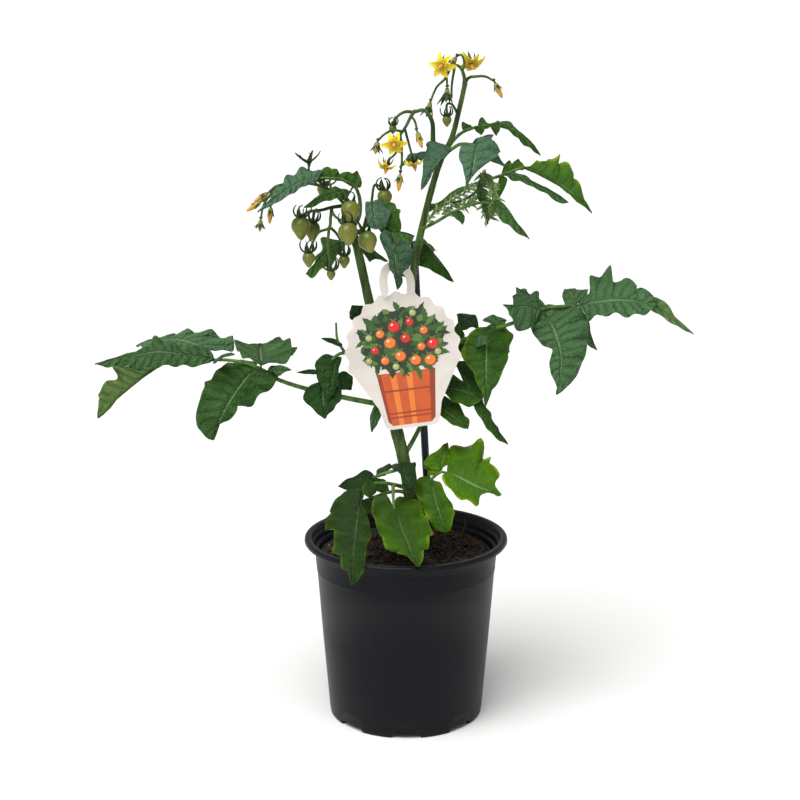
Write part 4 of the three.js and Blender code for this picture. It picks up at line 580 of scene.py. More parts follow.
def growLeaflet(bm, layers, leaflet, number, path, look, rng):
    form = leafletForm
    base, tip = spot(leaflet["at"]), spot(leaflet["tip"])
    lobes, bend = leaflet.get("lobes", 3), leaflet.get("bend", 0)
    arch, fold = leaflet.get("arch", 0.08), leaflet.get("fold", 0.15)
    sweep, heart = form["sweep"], form["heart"]
    along = tip - base
    length = along.length
    along.normalize()
    side = facing(leaflet.get("face", (0, 1, 0.8))).cross(along).normalized()
    up = along.cross(side)
    steps = max(12, round(length / mm / form["step"]))
    edges = {}
    if "left" in leaflet:
        edges[1] = leafletEdge(leaflet["left"], length, steps)
        edges[-1] = leafletEdge(leaflet["right"], length, steps)
        lobes = max(2, round(length / mm / form["veinGap"]))
    width = sum(max(point.y for point in edge) for edge in edges.values()) or leaflet["width"] * mm
    twist, droop = [form[key] * (form["ownShare"] if edges else 1) for key in ("twist", "droop")]
    twist *= rng.uniform(-1, 1)
    shifts = {-1: rng.uniform(-0.3, 0.1), 1: rng.uniform(-0.1, 0.3)}
    sizes = {hand: [rng.uniform(0.35, 1.25) for _ in range(lobes + 1)] for hand in (-1, 1)}
    waves = {-1: rng.uniform(0, 6.3), 1: rng.uniform(0, 6.3)}
    tone, margin = look.get("each", {}).get(number, (look["tone"], look["margin"]))
    tone += rng.uniform(-0.05, 0.05)
    seed = Vector((rng.uniform(0, 50), rng.uniform(0, 50), 0))

    def centreAt(share):
        swell = 4 * share * (1 - share) * length
        return base + along * length * share + side * bend * swell + up * arch * swell

    def place(share, sign):
        hand = 1 if sign >= 0 else -1
        aside = abs(sign)
        if edges:
            step = min(int(share * steps), steps - 1)
            far = edges[hand][step].lerp(edges[hand][step + 1], share * steps - step)
            half, ahead = far.y, (far.x - share * length) * aside
            reach = half * aside
        else:
            half = width / 2 * leafletHalf(share, lobes, shifts[hand] * min(1, share * 4), sizes[hand])
            reach = max(half, 0.3 * mm) * aside
            ahead = reach * (sweep * min(1, 2 - 2 * share) - (heart + sweep) * (1 - share) ** 3)
        turn = twist * (share - 0.4)
        out = side * math.cos(turn) + up * math.sin(turn)
        lift = along.cross(out)
        if lift.dot(up) < 0:
            lift.negate()
        point = centreAt(share + ahead / length) + out * hand * reach
        # swellings between the veins, less on the small leaflets
        small = min(1, width / (form["fullWidth"] * mm))
        vein = (share * lobes + 0.5 * (1 - aside) + 1 - form["lobePeak"]) % 1
        swell = abs(math.sin(math.pi * vein)) ** 0.7 * min(1, aside / form["pillowFrom"]) * (1 - aside ** 3)
        height = form["pillow"] * mm * swell * small
        height -= form["valley"] * mm * math.exp(-(aside / form["valleyWidth"]) ** 2)
        height += form["buckle"] * mm * small * noise.noise(seed + point * form["buckleGrain"])
        height += form["blister"] * mm * small * abs(noise.noise(seed + point * form["blisterGrain"]))
        ruffle = math.sin(share * lobes * 2 * math.pi + waves[hand])
        ruffle += 0.5 * noise.noise(seed + point * form["ruffleGrain"])
        height += form["ruffle"] * half * aside ** 2 * ruffle
        height -= (fold + droop * aside) * reach
        return point + lift * height

    columns = max(8, 2 * round(width / mm / form["step"] / 2))
    grid = bmesh.ops.create_grid(bm, x_segments=steps, y_segments=columns, size=1)["verts"]
    faces = list({face for vert in grid for face in vert.link_faces})
    for face in faces:
        for loop in face.loops:
            share = (loop.vert.co.x + 1) / 2
            loop[layers["blade"]].uv = (share * lobes, loop.vert.co.y)
    for vert in grid:
        vert[layers["tone"]] = tone
        vert[layers["margin"]] = margin
        vert.co = place((vert.co.x + 1) / 2, vert.co.y)
    bmesh.ops.recalc_face_normals(bm, faces=faces)
    total = sum((face.normal * face.calc_area() for face in faces), Vector())
    if total.dot(up) < 0:
        bmesh.ops.reverse_faces(bm, faces=faces)
    thicken(bm, grid, faces, form["thickness"] * mm)
    for face in faces:
        face.material_index = 1
    # its own short stalk, which runs on as the midrib under the blade
    root = min(path, key=lambda point: (point - base).length)
    start = [root.lerp(base, i / 3) for i in range(3)] if (root - base).length > 0.001 else []
    last = form["ribSteps"]
    rib = [place(i / last * 0.9, 0) - up * mm * (0.75 - 0.35 * i / last) for i in range(last + 1)]
    thick = [form["stalk"] * mm] * len(start)
    thick += [mm * (form["stalk"] * (1 - i / last) + form["rib"] * i / last) * 0.9 for i in range(last + 1)]
    growTube(bm, start + rib, thick, sides=6, finish=2, tone=tone)


def buildLeaf(name, leaf, look, seed):
    rng = random.Random(seed)
    bm = bmesh.new()
    layers = newLayers(bm)
    stalkPoints = []
    for stalk in leaf["stalks"]:
        points = [spot(place) for place in stalk["points"]]
        path, radii = stalkPath(points, stalk["from"], stalk.get("to", 0.9), 10 * (len(points) - 1))
        stalkPoints += path
        growTube(bm, path, radii, sides=10, finish=2, tone=look["tone"], ridge=0.06)
    for number, leaflet in enumerate(leaf["leaflets"]):
        growLeaflet(bm, layers, leaflet, number, stalkPoints, look, rng)
    toObject(bm, f"{name}_grown", [bladeTop, bladeUnder, leafStalk], name)


# Each leaf's stalks, and its leaflets. left and right are the edges of a leaflet that the photo shows,
# as distance along and reach aside. A width alone gives a leaflet its plain lobed shape.
leaves = {
    "leaf_front_left": {
        "stalks": [
            {"points": [[3, 163, 2], [-2, 165, 14], [-9, 167, 23], [-16, 168, 28], [-28, 167, 30]],
             "from": 1.8},
            {"points": [[-9, 167, 23], [-9, 158, 30], [-8, 148, 33]], "from": 1.4},
        ],
        "leaflets": [
            {"at": [-31, 164, 30], "tip": [-39, 92, 72], "face": [-0.2, 0.5, 1], "fold": 0.1,
             "bend": 0.01, "left": [[4.8, 2], [11, 1.1], [18, 4.2], [26, 8], [33, 10], [39, 10], [42, 8],
             [47, 8], [54, 8], [60, 7], [66, 4.1]], "right": [[0.7, 8], [1.5, 13], [9, 17], [16, 22],
             [18, 19], [21, 20], [30, 23], [31, 16], [37, 15], [46, 16], [49, 13], [48, 10], [54, 9],
             [59, 7], [58, 5], [62, 2.7], [66, 0.9]]},
            {"at": [-8, 148, 33], "tip": [8, 107, 75], "face": [0.1, 0.7, 1], "fold": 0.08,
             "bend": -0.02, "left": [[-14, 4], [-17, 9], [-10, 14], [0, 19], [10, 19], [16, 20], [20, 19],
             [26, 20], [31, 18], [32, 16], [37, 14], [41, 11], [37, 11], [42, 8], [47, 6], [50, 2.9]],
             "right": [[-15, 1], [-29, 3.2], [-31, 8], [-21, 12], [-10, 15], [2.5, 15], [14, 15],
             [20, 14], [27, 15], [33, 15], [32, 12], [31, 10], [35, 10], [39, 8], [42, 4.7], [46, 2.3]]},
            {"at": [-1, 166, 17], "tip": [0, 160, 36], "width": 12, "face": [0.5, 0.6, 0.8], "lobes": 1},
            {"at": [-26, 170, 28], "tip": [-25, 157, 38], "face": [0, 0.6, 1], "left": [[1.8, 3.3],
             [7, 5], [11, 3.5]], "right": [[2.2, 3.2], [7, 5], [12, 3.3]]},
        ],
    },
    "leaf_front_right": {
        "stalks": [
            {"points": [[6, 152, 2], [12, 161, 8], [18, 171, 14], [25, 176, 16], [29, 175, 17]],
             "from": 1.7},
        ],
        "leaflets": [
            {"at": [18, 170, 14], "tip": [29, 131, 36], "face": [-0.1, 0.6, 1], "fold": 0.1,
             "bend": -0.03, "left": [[1.8, 2.8], [4, 6], [10, 7], [15, 8], [20, 10], [26, 10], [28, 10],
             [30, 8], [34, 6], [38, 3.4]], "right": [[-4.1, 3], [-4.8, 8], [-0.4, 12], [7, 12], [14, 11],
             [21, 10], [27, 8], [33, 7], [37, 4.1]]},
            {"at": [29, 176, 17], "tip": [67, 159, 40], "face": [0.1, 1, 1.1], "fold": 0.06,
             "bend": -0.06, "left": [[-5, 6], [-9, 12], [-12, 17], [-10, 23], [-6, 27], [-2.6, 31],
             [1.1, 29], [4.5, 31], [7, 35], [10, 34], [12, 29], [13, 25], [17, 26], [22, 26], [23, 23],
             [23, 20], [28, 20], [32, 18], [34, 14], [32, 10], [33, 9], [37, 5]], "right": [[-2.2, 4.5],
             [0.7, 7], [9, 10], [16, 12], [23, 13], [29, 13], [33, 13], [33, 10], [30, 7], [32, 4],
             [35, 1.4], [39, 1.2], [43, 2]]},
            {"at": [24, 177, 16], "tip": [29, 197, -10], "face": [0.2, 1, 0.8], "left": [[1.2, 7],
             [1.2, 12], [7, 12], [11, 10], [14, 7], [20, 4.5], [26, 2.4]], "right": [[3.1, 1.3], [6, 3.6],
             [11, 4.1], [17, 2.8], [23, 1.5]]},
            {"at": [24, 177, 15], "tip": [13, 182, 4], "width": 13, "face": [0, 1, 0.6], "lobes": 2},
        ],
    },
    "leaf_low_dark": {
        "stalks": [
            {"points": [[0, 181, 3], [-3, 180, 12], [-8, 177, 17], [-15, 175, 17], [-23, 172, 12]],
             "from": 1.6},
        ],
        "leaflets": [
            {"at": [-3, 181, 13], "tip": [2, 163, 31], "face": [0, 0.8, 0.9], "arch": 0.14,
             "left": [[-16, 3], [-1.4, 5], [-0.9, 10], [8, 8], [16, 7], [20, 4]], "right": [[-9, 4.5],
             [-6, 8], [2.3, 7], [7, 3.3], [12, 2.5], [19, 1.9]]},
            {"at": [-23, 172, 12], "tip": [-47, 165, 6], "fold": 0.12,
             "left": [[-0.4, 2], [2.7, 7], [10, 9], [16, 7], [22, 3.8]], "right": [[0.9, 4.3], [4.4, 7],
             [9, 6], [15, 3.6], [21, 2.4]]},
            {"at": [-12, 177, 17], "tip": [-20, 177, 2], "width": 13, "face": [0, 0.9, 1], "lobes": 1},
        ],
    },
    "leaf_low_back": {
        "stalks": [
            {"points": [[4, 158, 2], [-4, 162, -6], [-13, 161, -10], [-22, 158, -8], [-30, 155, -4]],
             "from": 1.5},
        ],
        "leaflets": [
            {"at": [-30, 155, -4], "tip": [-58, 139, 6], "width": 15, "face": [0, 1, 0.6], "lobes": 3},
            {"at": [-20, 158, -8], "tip": [-34, 140, 18], "width": 12, "face": [-0.3, 1, 0.6], "lobes": 1},
            {"at": [-14, 161, -10], "tip": [-30, 176, -36], "width": 15, "face": [0, 1, 0.2], "lobes": 2},
        ],
    },
    "leaf_left_big": {
        "stalks": [
            {"points": [[-12, 224, 2], [-25, 226, 3], [-45, 230, 6], [-70, 236, 13], [-90, 243, 21],
             [-99, 249, 25], [-111, 254, 29], [-124, 256, 30], [-134, 256, 31]], "from": 2, "to": 1},
        ],
        "leaflets": [
            {"at": [-103, 251, 27], "tip": [-134, 199, 50], "face": [0.3, 1, 0.9], "fold": 0.1,
             "bend": -0.05, "left": [[-1.9, 7], [-4.8, 12], [-2, 15], [4.8, 17], [10, 16], [15, 14],
             [20, 14], [24, 14], [27, 11], [27, 7], [29, 6], [33, 7], [38, 6], [42, 4.3], [43, 0.6],
             [47, 0.6], [50, 0.6], [53, 0.6]], "right": [[-2.9, 2.7], [-0.8, 8], [1.9, 14], [4, 14],
             [6, 18], [12, 18], [17, 20], [22, 20], [26, 22], [29, 20], [34, 20], [40, 19], [44, 18],
             [49, 17], [54, 14], [56, 10], [58, 4.4]]},
            {"at": [-100, 252, 26], "tip": [-100, 267, -16], "face": [-0.1, 1, 0.9], "arch": 0.02,
             "fold": -0.22, "left": [[9, 6], [16, 12], [29, 15], [42, 17], [44, 13], [39, 7]],
             "right": [[-1.8, 5], [-4.4, 10], [-3.3, 16], [1.7, 21], [6, 26], [11, 25], [9, 22], [23, 22],
             [37, 18], [36, 16], [40, 14], [36, 12], [36, 6]]},
            {"at": [-96, 248, 25], "tip": [-79, 249, 36], "face": [0, 1, 1.2], "left": [[2, 4.2], [8, 4],
             [15, 2.5]], "right": [[6, 1.4], [12, 4.1], [17, 1.8]]},
            {"at": [-19, 225, 3], "tip": [-24, 205, 8], "width": 7, "face": [0, 0.5, 1], "lobes": 1},
            {"at": [-135, 262, 22], "tip": [-185, 265, -8], "face": [0.1, 1, 0.5], "arch": 0.12,
             "fold": 0.1, "left": [[2.3, 5], [8, 10], [16, 13], [30, 14], [44, 10]],
             "right": [[-4.1, 3.9], [-7, 10], [-7, 17], [-5, 22], [-2.6, 24], [0.2, 23], [3.8, 24],
             [6, 21], [11, 21], [11, 17], [16, 17], [19, 14], [29, 15], [28, 10], [35, 10], [40, 8],
             [44, 3.7], [52, 1.1]]},
            {"at": [-132, 256, 31], "tip": [-214, 252, 34], "face": [0.1, 1, 0.7], "arch": 0.12,
             "fold": 0.2, "left": [[6, 4.8], [15, 8], [25, 10], [35, 11], [44, 11], [56, 9], [67, 6]],
             "right": [[2.4, 7], [8, 10], [15, 9], [20, 8], [25, 11], [30, 16], [34, 16], [40, 18],
             [42, 14], [42, 8], [47, 8], [51, 5], [57, 2.6], [62, 0.6], [68, 0.6], [70, 0.6]]},
            {"at": [-169, 253, 36], "tip": [-214, 215, 50], "face": [-0.2, 0.5, -1], "arch": 0.06,
             "fold": 0.04, "left": [[5, 3.8], [13, 10], [20, 18], [25, 22], [25, 17], [28, 14], [32, 15],
             [36, 15], [41, 15], [44, 14], [45, 10], [48, 7], [52, 3.8]], "right": [[7, 0.6], [16, 0.6],
             [25, 0.6], [34, 0.9], [43, 1.6], [49, 1.6]]},
            {"at": [-132, 255, 31], "tip": [-118, 260, 50], "width": 9, "face": [0, 1, 0.5], "lobes": 1},
        ],
    },
    "leaf_left_small": {
        "stalks": [
            {"points": [[-20, 258, 0], [-32, 258, 3], [-42, 261, 6], [-48, 259, 11], [-55, 250, 16],
             [-58, 241, 18]], "from": 1.5, "to": 0.9},
            {"points": [[-42, 261, 6], [-47, 270, 9], [-48, 282, 10]], "from": 1.1, "to": 0.7},
            {"points": [[-22, 258, 1], [-28, 272, 2], [-30, 284, 2]], "from": 1.1, "to": 0.7},
        ],
        "leaflets": [
            {"at": [-48, 258, 10], "tip": [-54, 228, 30], "face": [0.3, 0.4, 1], "left": [[-1.7, 3.6],
             [3.7, 3.5], [8, 2.6], [14, 3.2], [19, 4.6], [23, 3.5], [29, 2]], "right": [[0.5, 8], [5, 12],
             [12, 14], [15, 12], [19, 10], [24, 7], [28, 3.8]]},
            {"at": [-58, 241, 17], "tip": [-56, 214, 32], "face": [-0.1, 0.7, 1], "left": [[2.3, 7],
             [5, 12], [11, 12], [16, 11], [19, 8], [22, 6], [24, 2.6]], "right": [[1.1, 6], [4.1, 11],
             [9, 14], [14, 12], [19, 8], [23, 5], [25, 2.9]]},
            {"at": [-59, 247, 16], "tip": [-75, 247, 13], "width": 4.5, "face": [0, 1, 0.7], "lobes": 1},
            {"at": [-47, 246, 4], "tip": [-38, 235, 4], "width": 13, "face": [0, 0.2, 1], "lobes": 1},
            {"at": [-44, 267, 8], "tip": [-58, 271, 14], "width": 6, "face": [0, 1, 0.7], "lobes": 1},
            {"at": [-30, 284, 2], "tip": [-37, 294, 4], "width": 12, "face": [0, 0.3, 1], "lobes": 1},
        ],
    },
    "leaf_right_big": {
        "stalks": [
            {"points": [[-3, 260, 3], [14, 263, 1], [34, 268, -7], [55, 276, -15], [76, 283, -20],
             [95, 292, -22], [117, 294, -24]], "from": 2, "to": 1},
        ],
        "leaflets": [
            {"at": [93, 290, -22], "tip": [104, 231, 6], "face": [-0.2, 0.8, 1], "fold": 0.1,
             "bend": 0.12, "left": [[-5, 6], [-3.5, 12], [-1.4, 18], [1.3, 24], [6, 26], [12, 25],
             [20, 23], [27, 20], [34, 18], [41, 15], [47, 13], [53, 9], [57, 6], [60, 2.8]],
             "right": [[0.7, 7], [6, 12], [12, 14], [18, 14], [24, 11], [27, 8], [30, 4.8], [33, 6],
             [39, 8], [45, 7], [51, 4.1], [57, 0.6], [59, 0.6]]},
            {"at": [92, 291, -21], "tip": [66, 294, -14], "face": [0.1, 1, 0.9], "left": [[6, 12],
             [11, 18], [16, 18], [21, 16], [23, 11], [24, 7], [24, 3.5]], "right": [[6, 3.8], [12, 2.7],
             [17, 0.6], [23, 0.6]]},
            {"at": [94, 292, -23], "tip": [75, 306, -46], "face": [0.1, 1, 0.9], "left": [[6, 7],
             [10, 13], [15, 14], [22, 10], [25, 8], [24, 6]], "right": [[1.8, 2.5], [7, 3.7], [10, 3.5],
             [14, 7], [18, 6], [16, 1.5], [18, 0.6], [25, 3.6], [27, 2.5], [26, 0.6], [23, 0.6]]},
            {"at": [117, 294, -24], "tip": [171, 296, -14], "face": [0, 1, 0.85], "arch": 0.1,
             "fold": 0.08, "bend": -0.04, "left": [[5, 6], [8, 11], [8, 19], [8, 25], [12, 29], [16, 32],
             [20, 35], [23, 34], [23, 30], [23, 24], [27, 24], [33, 22], [38, 19], [41, 16], [39, 13],
             [37, 9], [41, 11], [45, 12], [50, 10], [53, 6]], "right": [[4.7, 7], [8, 13], [12, 12],
             [19, 11], [27, 11], [36, 12], [43, 11], [49, 8], [53, 4.4]]},
            {"at": [116, 295, -24], "tip": [108, 304, -42], "face": [0.1, 1, 0.9], "left": [[-4.8, 3],
             [-1.8, 6], [3.4, 7], [10, 6], [16, 3.1]], "right": [[3.3, 8], [13, 15], [29, 19], [26, 15],
             [16, 8], [21, 8], [25, 8], [19, 3], [16, 0.6]]},
            {"at": [166, 297, -17], "tip": [197, 274, -4], "face": [0.3, 0.6, -1], "arch": 0.03,
             "fold": 0.06, "left": [[3.2, 4.4], [9, 4.8], [18, 4.2], [25, 3.8], [32, 2.2]],
             "right": [[2.4, 7], [7, 7], [11, 6], [16, 4.6], [21, 1.3], [29, 0.6]]},
            {"at": [115, 292, -24], "tip": [131, 263, -18], "face": [-0.3, 0.7, 0.8], "left": [[13, 4.1],
             [20, 1.6], [26, 0.6]], "right": [[16, 1.7], [24, 4.4], [28, 3.4]]},
            {"at": [55, 279, -14], "tip": [55, 223, 12], "face": [0.4, 0.7, 1], "fold": 0.1,
             "bend": -0.03, "left": [[-5, 7], [-4.5, 14], [-0.3, 18], [3.8, 20], [10, 19], [15, 20],
             [18, 17], [24, 16], [30, 14], [36, 11], [42, 8], [45, 5], [50, 2.8]], "right": [[2.3, 8],
             [10, 14], [18, 16], [24, 18], [28, 13], [33, 10], [38, 8], [44, 5], [48, 3.1], [52, 1.6]]},
            {"at": [50, 277, -14], "tip": [35, 287, -36], "left": [[4.8, 2.5],
             [6, 7], [12, 8]], "right": [[16, 8], [23, 6], [26, 2.7]]},
            {"at": [60, 280, -16], "tip": [69, 284, -30], "face": [0, 1, 1.8], "left": [[-1.9, 8],
             [4.2, 8], [10, 7], [15, 3.5]], "right": [[-3.9, 0.6], [0.7, 1.9], [8, 2.6]]},
            {"at": [50, 276, -12], "tip": [57, 269, 4], "face": [0.1, 0.2, 1], "left": [[-22, 2],
             [-1.3, 1.1], [9, 0.6]], "right": [[-8, 6], [3.5, 9], [14, 9], [17, 5]]},
        ],
    },
    "leaf_right_low": {
        "stalks": [
            {"points": [[0, 190, 3], [5, 199, -1], [11, 211, -2], [19, 228, -6], [28, 246, -12],
             [34, 255, -14]], "from": 1.7, "to": 1},
        ],
        "leaflets": [
            {"at": [34, 255, -14], "tip": [71, 196, 14], "face": [0.3, 0.8, 1], "fold": 0.25,
             "bend": -0.07, "left": [[4.6, 11], [17, 12], [28, 8], [36, 3.9], [40, 2.8], [45, 4.3],
             [49, 1.7], [53, 1.3], [56, 1.9], [59, 0.6], [62, 0.6], [66, 0.6]], "right": [[1.9, 0.6],
             [12, 1.2], [23, 2.3], [33, 4.4], [40, 4.7], [47, 4.9], [54, 4.9], [60, 4.4], [65, 2.6]]},
            {"at": [23, 236, -8], "tip": [53, 229, 8], "face": [0.1, 1, 0.9], "left": [[-0.7, 15],
             [8, 13], [15, 11], [22, 8], [28, 4.8]], "right": [[8, 5], [16, 9], [23, 10], [29, 8],
             [33, 4.3]]},
            {"at": [18, 225, -6], "tip": [43, 207, 14], "face": [0.2, 0.8, 1], "left": [[0.7, 11],
             [11, 12], [19, 10], [25, 7], [30, 6]], "right": [[6, 2.2], [17, 5], [25, 4.1], [31, 2.6]]},
            {"at": [28, 247, -12], "tip": [18, 240, -44], "width": 15, "face": [-0.3, 1, 0.2], "lobes": 2},
            {"at": [33, 257, -14], "tip": [36, 282, -14], "width": 13, "face": [-0.2, 0.5, 1], "lobes": 1},
        ],
    },
    "leaf_back": {
        "stalks": [
            {"points": [[-14, 236, 1], [-10, 244, -20], [-6, 250, -42], [-4, 250, -62]], "from": 1.9},
        ],
        "leaflets": [
            {"at": [-4, 250, -62], "tip": [-8, 232, -108], "width": 34, "face": [0, 1, -0.3], "lobes": 4},
            {"at": [-7, 250, -46], "tip": [-34, 246, -70], "width": 22, "face": [0, 1, -0.2], "lobes": 3},
            {"at": [-6, 251, -50], "tip": [24, 252, -78], "width": 22, "face": [0, 1, -0.2], "lobes": 3},
        ],
    },
    "leaf_top_left": {
        "stalks": [
            {"points": [[-36, 348, -2], [-32, 354, -6], [-31, 364, -6], [-34, 374, -2], [-44, 380, 6]],
             "from": 1.6},
        ],
        "leaflets": [
            {"at": [-58, 381, 11], "tip": [-100, 357, 41], "arch": 0.1,
             "fold": 0.12, "left": [[6, 3.2], [13, 3.2], [20, 3.7], [26, 4.3], [31, 4.6], [35, 4],
             [40, 4.1], [45, 2.6], [50, 1.4]], "right": [[-8, 8], [-4.2, 13], [0.3, 15], [6, 14],
             [12, 12], [17, 12], [22, 10], [27, 6], [31, 6], [37, 4], [42, 1.5], [47, 0.6]]},
            {"at": [-33, 374, -3], "tip": [-65, 379, 6], "face": [0, 0.5, 1], "arch": 0.02, "fold": 0.02,
             "bend": -0.12, "left": [[5, 1.8], [11, 1.1], [16, 1.4], [22, 1.6], [27, 2.6]],
             "right": [[-2.1, 1.2], [-3, 8], [0.6, 12], [2.9, 7], [4.8, 8], [10, 6], [12, 2.5], [14, 6],
             [16, 7], [18, 6], [21, 8], [24, 7], [26, 4], [30, 3.4]]},
            {"at": [-38, 371, 1], "tip": [-69, 360, 28], "face": [0, 1, 0.9], "arch": 0.1,
             "left": [[8, 6], [15, 4.9], [23, 4], [31, 2.9], [37, 2.8]], "right": [[1.4, 5], [8, 7],
             [16, 5], [24, 3.8], [31, 1.8], [36, 0.9]]},
        ],
    },
    "leaf_centre": {
        "stalks": [
            {"points": [[-32, 332, -2], [-29, 345, 6], [-26, 357, 8], [-23, 364, 8]], "from": 1.5},
            {"points": [[-28, 349, 7], [-21, 350, 12], [-14, 345, 14]], "from": 1.2},
        ],
        "leaflets": [
            {"at": [-23, 364, 8], "tip": [-21, 346, 22], "face": [0.1, 0.8, 1], "left": [[-2.7, 5],
             [1.1, 9], [8, 12], [14, 10], [20, 6]], "right": [[-0.8, 3.9], [5, 5], [13, 5], [19, 3.8]]},
            {"at": [-24, 361, 7], "tip": [-10, 340, 12], "face": [0.1, 0.1, 1], "left": [[1.9, 10],
             [7, 15], [11, 14], [13, 16], [15, 13], [20, 11], [24, 8], [26, 3.8]], "right": [[5, 1.7],
             [12, 3.5], [18, 3.5], [22, 2.4]]},
            {"at": [-14, 345, 14], "tip": [5, 341, 8], "left": [[5, 0.6], [10, 0.6],
             [13, 0.6], [16, 0.6]], "right": [[5, 10], [10, 11], [14, 13], [18, 6]]},
        ],
    },
    "leaf_hook": {
        "stalks": [
            {"points": [[4, 314, 2], [-3, 315, 7], [-8, 316.3, 12], [-11, 322, 20], [-9, 331, 26],
             [-8, 336, 26]], "from": 1.1, "to": 0.8},
        ],
        "leaflets": [
            {"at": [-8, 336, 26], "tip": [-6, 305, 31], "face": [0, 0.3, 1], "left": [[-4, 2.6], [0, 8],
             [4.6, 12], [8, 12], [13, 10], [17, 8], [18, 5], [21, 3.2], [24, 3.9], [28, 2.1]],
             "right": [[-10, 4.9], [-7, 9], [0.1, 8], [8, 4.7], [14, 3.1], [22, 1.5]]},
        ],
    },
    "leaf_back_left": {
        "stalks": [
            {"points": [[-33, 333, -2], [-37, 337, -10], [-42, 337, -14]], "from": 1.3},
        ],
        "leaflets": [
            {"at": [-42, 337, -14], "tip": [-68, 316, -2], "face": [-0.3, 1, 0.8], "left": [[1.5, 3],
             [10, 7], [17, 9], [22, 8], [27, 6], [34, 5]], "right": [[2.9, 12], [8, 16], [12, 10],
             [17, 5], [22, 4], [22, 0.6], [27, 0.6], [31, 0.6]]},
            {"at": [-36, 336, -9], "tip": [-13, 324, -24], "width": 14, "lobes": 2},
        ],
    },
    "leaf_back_right": {
        "stalks": [
            {"points": [[9, 340, 1], [13, 337, -6], [14, 331, -12]], "from": 1.3},
        ],
        "leaflets": [
            {"at": [12, 336, -8], "tip": [32, 310, -6], "face": [0, 0.8, 1], "left": [[3.4, 0.6],
             [8, 0.6], [12, 0.6], [16, 0.6], [20, 0.6], [26, 0.6]], "right": [[6, 12], [12, 11], [16, 8],
             [21, 6], [28, 3.3]]},
            {"at": [12, 337, -8], "tip": [14, 322, -40], "width": 16, "face": [0, 1, -0.3], "lobes": 2},
        ],
    },
    "leaf_upper_front": {
        "stalks": [
            {"points": [[24, 395, -1], [31, 400, 12], [37, 403, 20], [46, 402, 24]], "from": 1.5},
        ],
        "leaflets": [
            {"at": [30, 400, 11], "tip": [10, 373, 30], "face": [-0.3, 0.7, 1], "fold": 0.2,
             "left": [[3.4, 0.6], [11, 0.6], [18, 0.6], [25, 1], [32, 1.8]], "right": [[-3.6, 10],
             [-0.2, 16], [3.4, 18], [5, 16], [8, 16], [10, 14], [15, 12], [22, 8], [29, 4.4], [34, 2.1]]},
            {"at": [46, 402, 24], "tip": [40, 373, 44], "face": [0, 0.7, 1], "bend": 0.05,
             "left": [[-9, 3.9], [-9, 10], [-8, 14], [-3.4, 17], [0.6, 15], [3.8, 16], [9, 12], [11, 8],
             [15, 5], [20, 3.6], [24, 1.4], [28, 0.6]], "right": [[-2.4, 7], [4.5, 10], [11, 10], [16, 8],
             [20, 6], [23, 4.7], [27, 2.7]]},
            {"at": [47, 402, 24], "tip": [67, 387, 14], "face": [0, 1, 1], "left": [[6, 3.1], [13, 4.5],
             [18, 3.6], [21, 0.7]], "right": [[6, 4.3], [13, 4.3], [19, 3.2]]},
            {"at": [20, 399, -7], "tip": [-4, 387, -20], "left": [[9, 6], [15, 3],
             [21, 2.3], [26, 1.7]], "right": [[9, 1.5], [16, 5], [23, 6], [27, 4.6]]},
            {"at": [44, 403, 23], "tip": [58, 409, 4], "left": [[6, 1.6], [10, 0.6],
             [16, 0.6]], "right": [[4.6, 2.8], [9, 6], [15, 4.4]]},
        ],
    },
    "leaf_top_right": {
        "stalks": [
            {"points": [[28, 401, -1], [33, 407, -9], [38, 411, -16], [46, 414, -23], [53, 415, -28],
             [60, 417, -32]], "from": 1.3, "to": 0.8},
        ],
        "leaflets": [
            {"at": [58, 416, -31], "tip": [89, 395, -36], "face": [0, 1, 0.7], "arch": 0.16, "fold": 0.4,
             "left": [[2.7, 8], [7, 14], [11, 11], [14, 12], [16, 5], [20, 3.4], [25, 0.6], [30, 0.6],
             [35, 0.6]], "right": [[3.3, 1.5], [7, 0.8], [11, 1.7], [17, 3.4], [22, 4.5], [28, 4.2],
             [34, 2.7]]},
            {"at": [42, 413, -20], "tip": [37, 417, -34], "face": [0, 1, 0.7], "left": [[-1, 0.7],
             [1, 4.3]], "right": [[1.9, 2.5], [7, 0.7]]},
            {"at": [48, 414, -25], "tip": [50, 420, -42], "face": [0, 1, 0.7], "left": [[3.5, 0.6],
             [9, 0.6]], "right": [[3.6, 8], [9, 4.6]]},
            {"at": [56, 416, -30], "tip": [60, 408, -20], "face": [0, 0.6, 1], "left": [[3.3, 6], [8, 4],
             [11, 1.8]], "right": [[0.2, 0.6], [7, 1.2], [11, 0.6]]},
            {"at": [47, 414, -24], "tip": [50, 409, -14], "face": [0, 0.6, 1], "left": [[-6, 6], [5, 3.8],
             [9, 1.9]], "right": [[-11, 0.6], [5, 2.2], [10, 0.8]]},
        ],
    },
    "leaf_upper_right": {
        "stalks": [
            {"points": [[13, 358, -1], [24, 364, -8], [35, 371, -12], [45, 376, -15], [54, 379, -17],
             [63, 382, -19], [71, 385, -21], [79, 388, -23]], "from": 1.6, "to": 0.9},
        ],
        "leaflets": [
            {"at": [79, 388, -23], "tip": [125, 357, -12], "face": [-0.1, 1, 0.8], "arch": 0.1,
             "fold": 0.1, "left": [[2.8, 2.5], [4.3, 11], [6, 9], [9, 14], [10, 20], [12, 18], [14, 21],
             [14, 26], [17, 19], [20, 21], [24, 20], [27, 19], [30, 18], [30, 15], [34, 12], [38, 10],
             [43, 7], [48, 3]], "right": [[9, 0.6], [14, 0.6], [20, 0.6], [24, 0.6], [29, 1.4], [35, 2.4],
             [41, 2.6], [48, 1.5]]},
            {"at": [66, 383, -20], "tip": [109, 364, 2], "face": [0, 1, 0.9], "fold": 0.2,
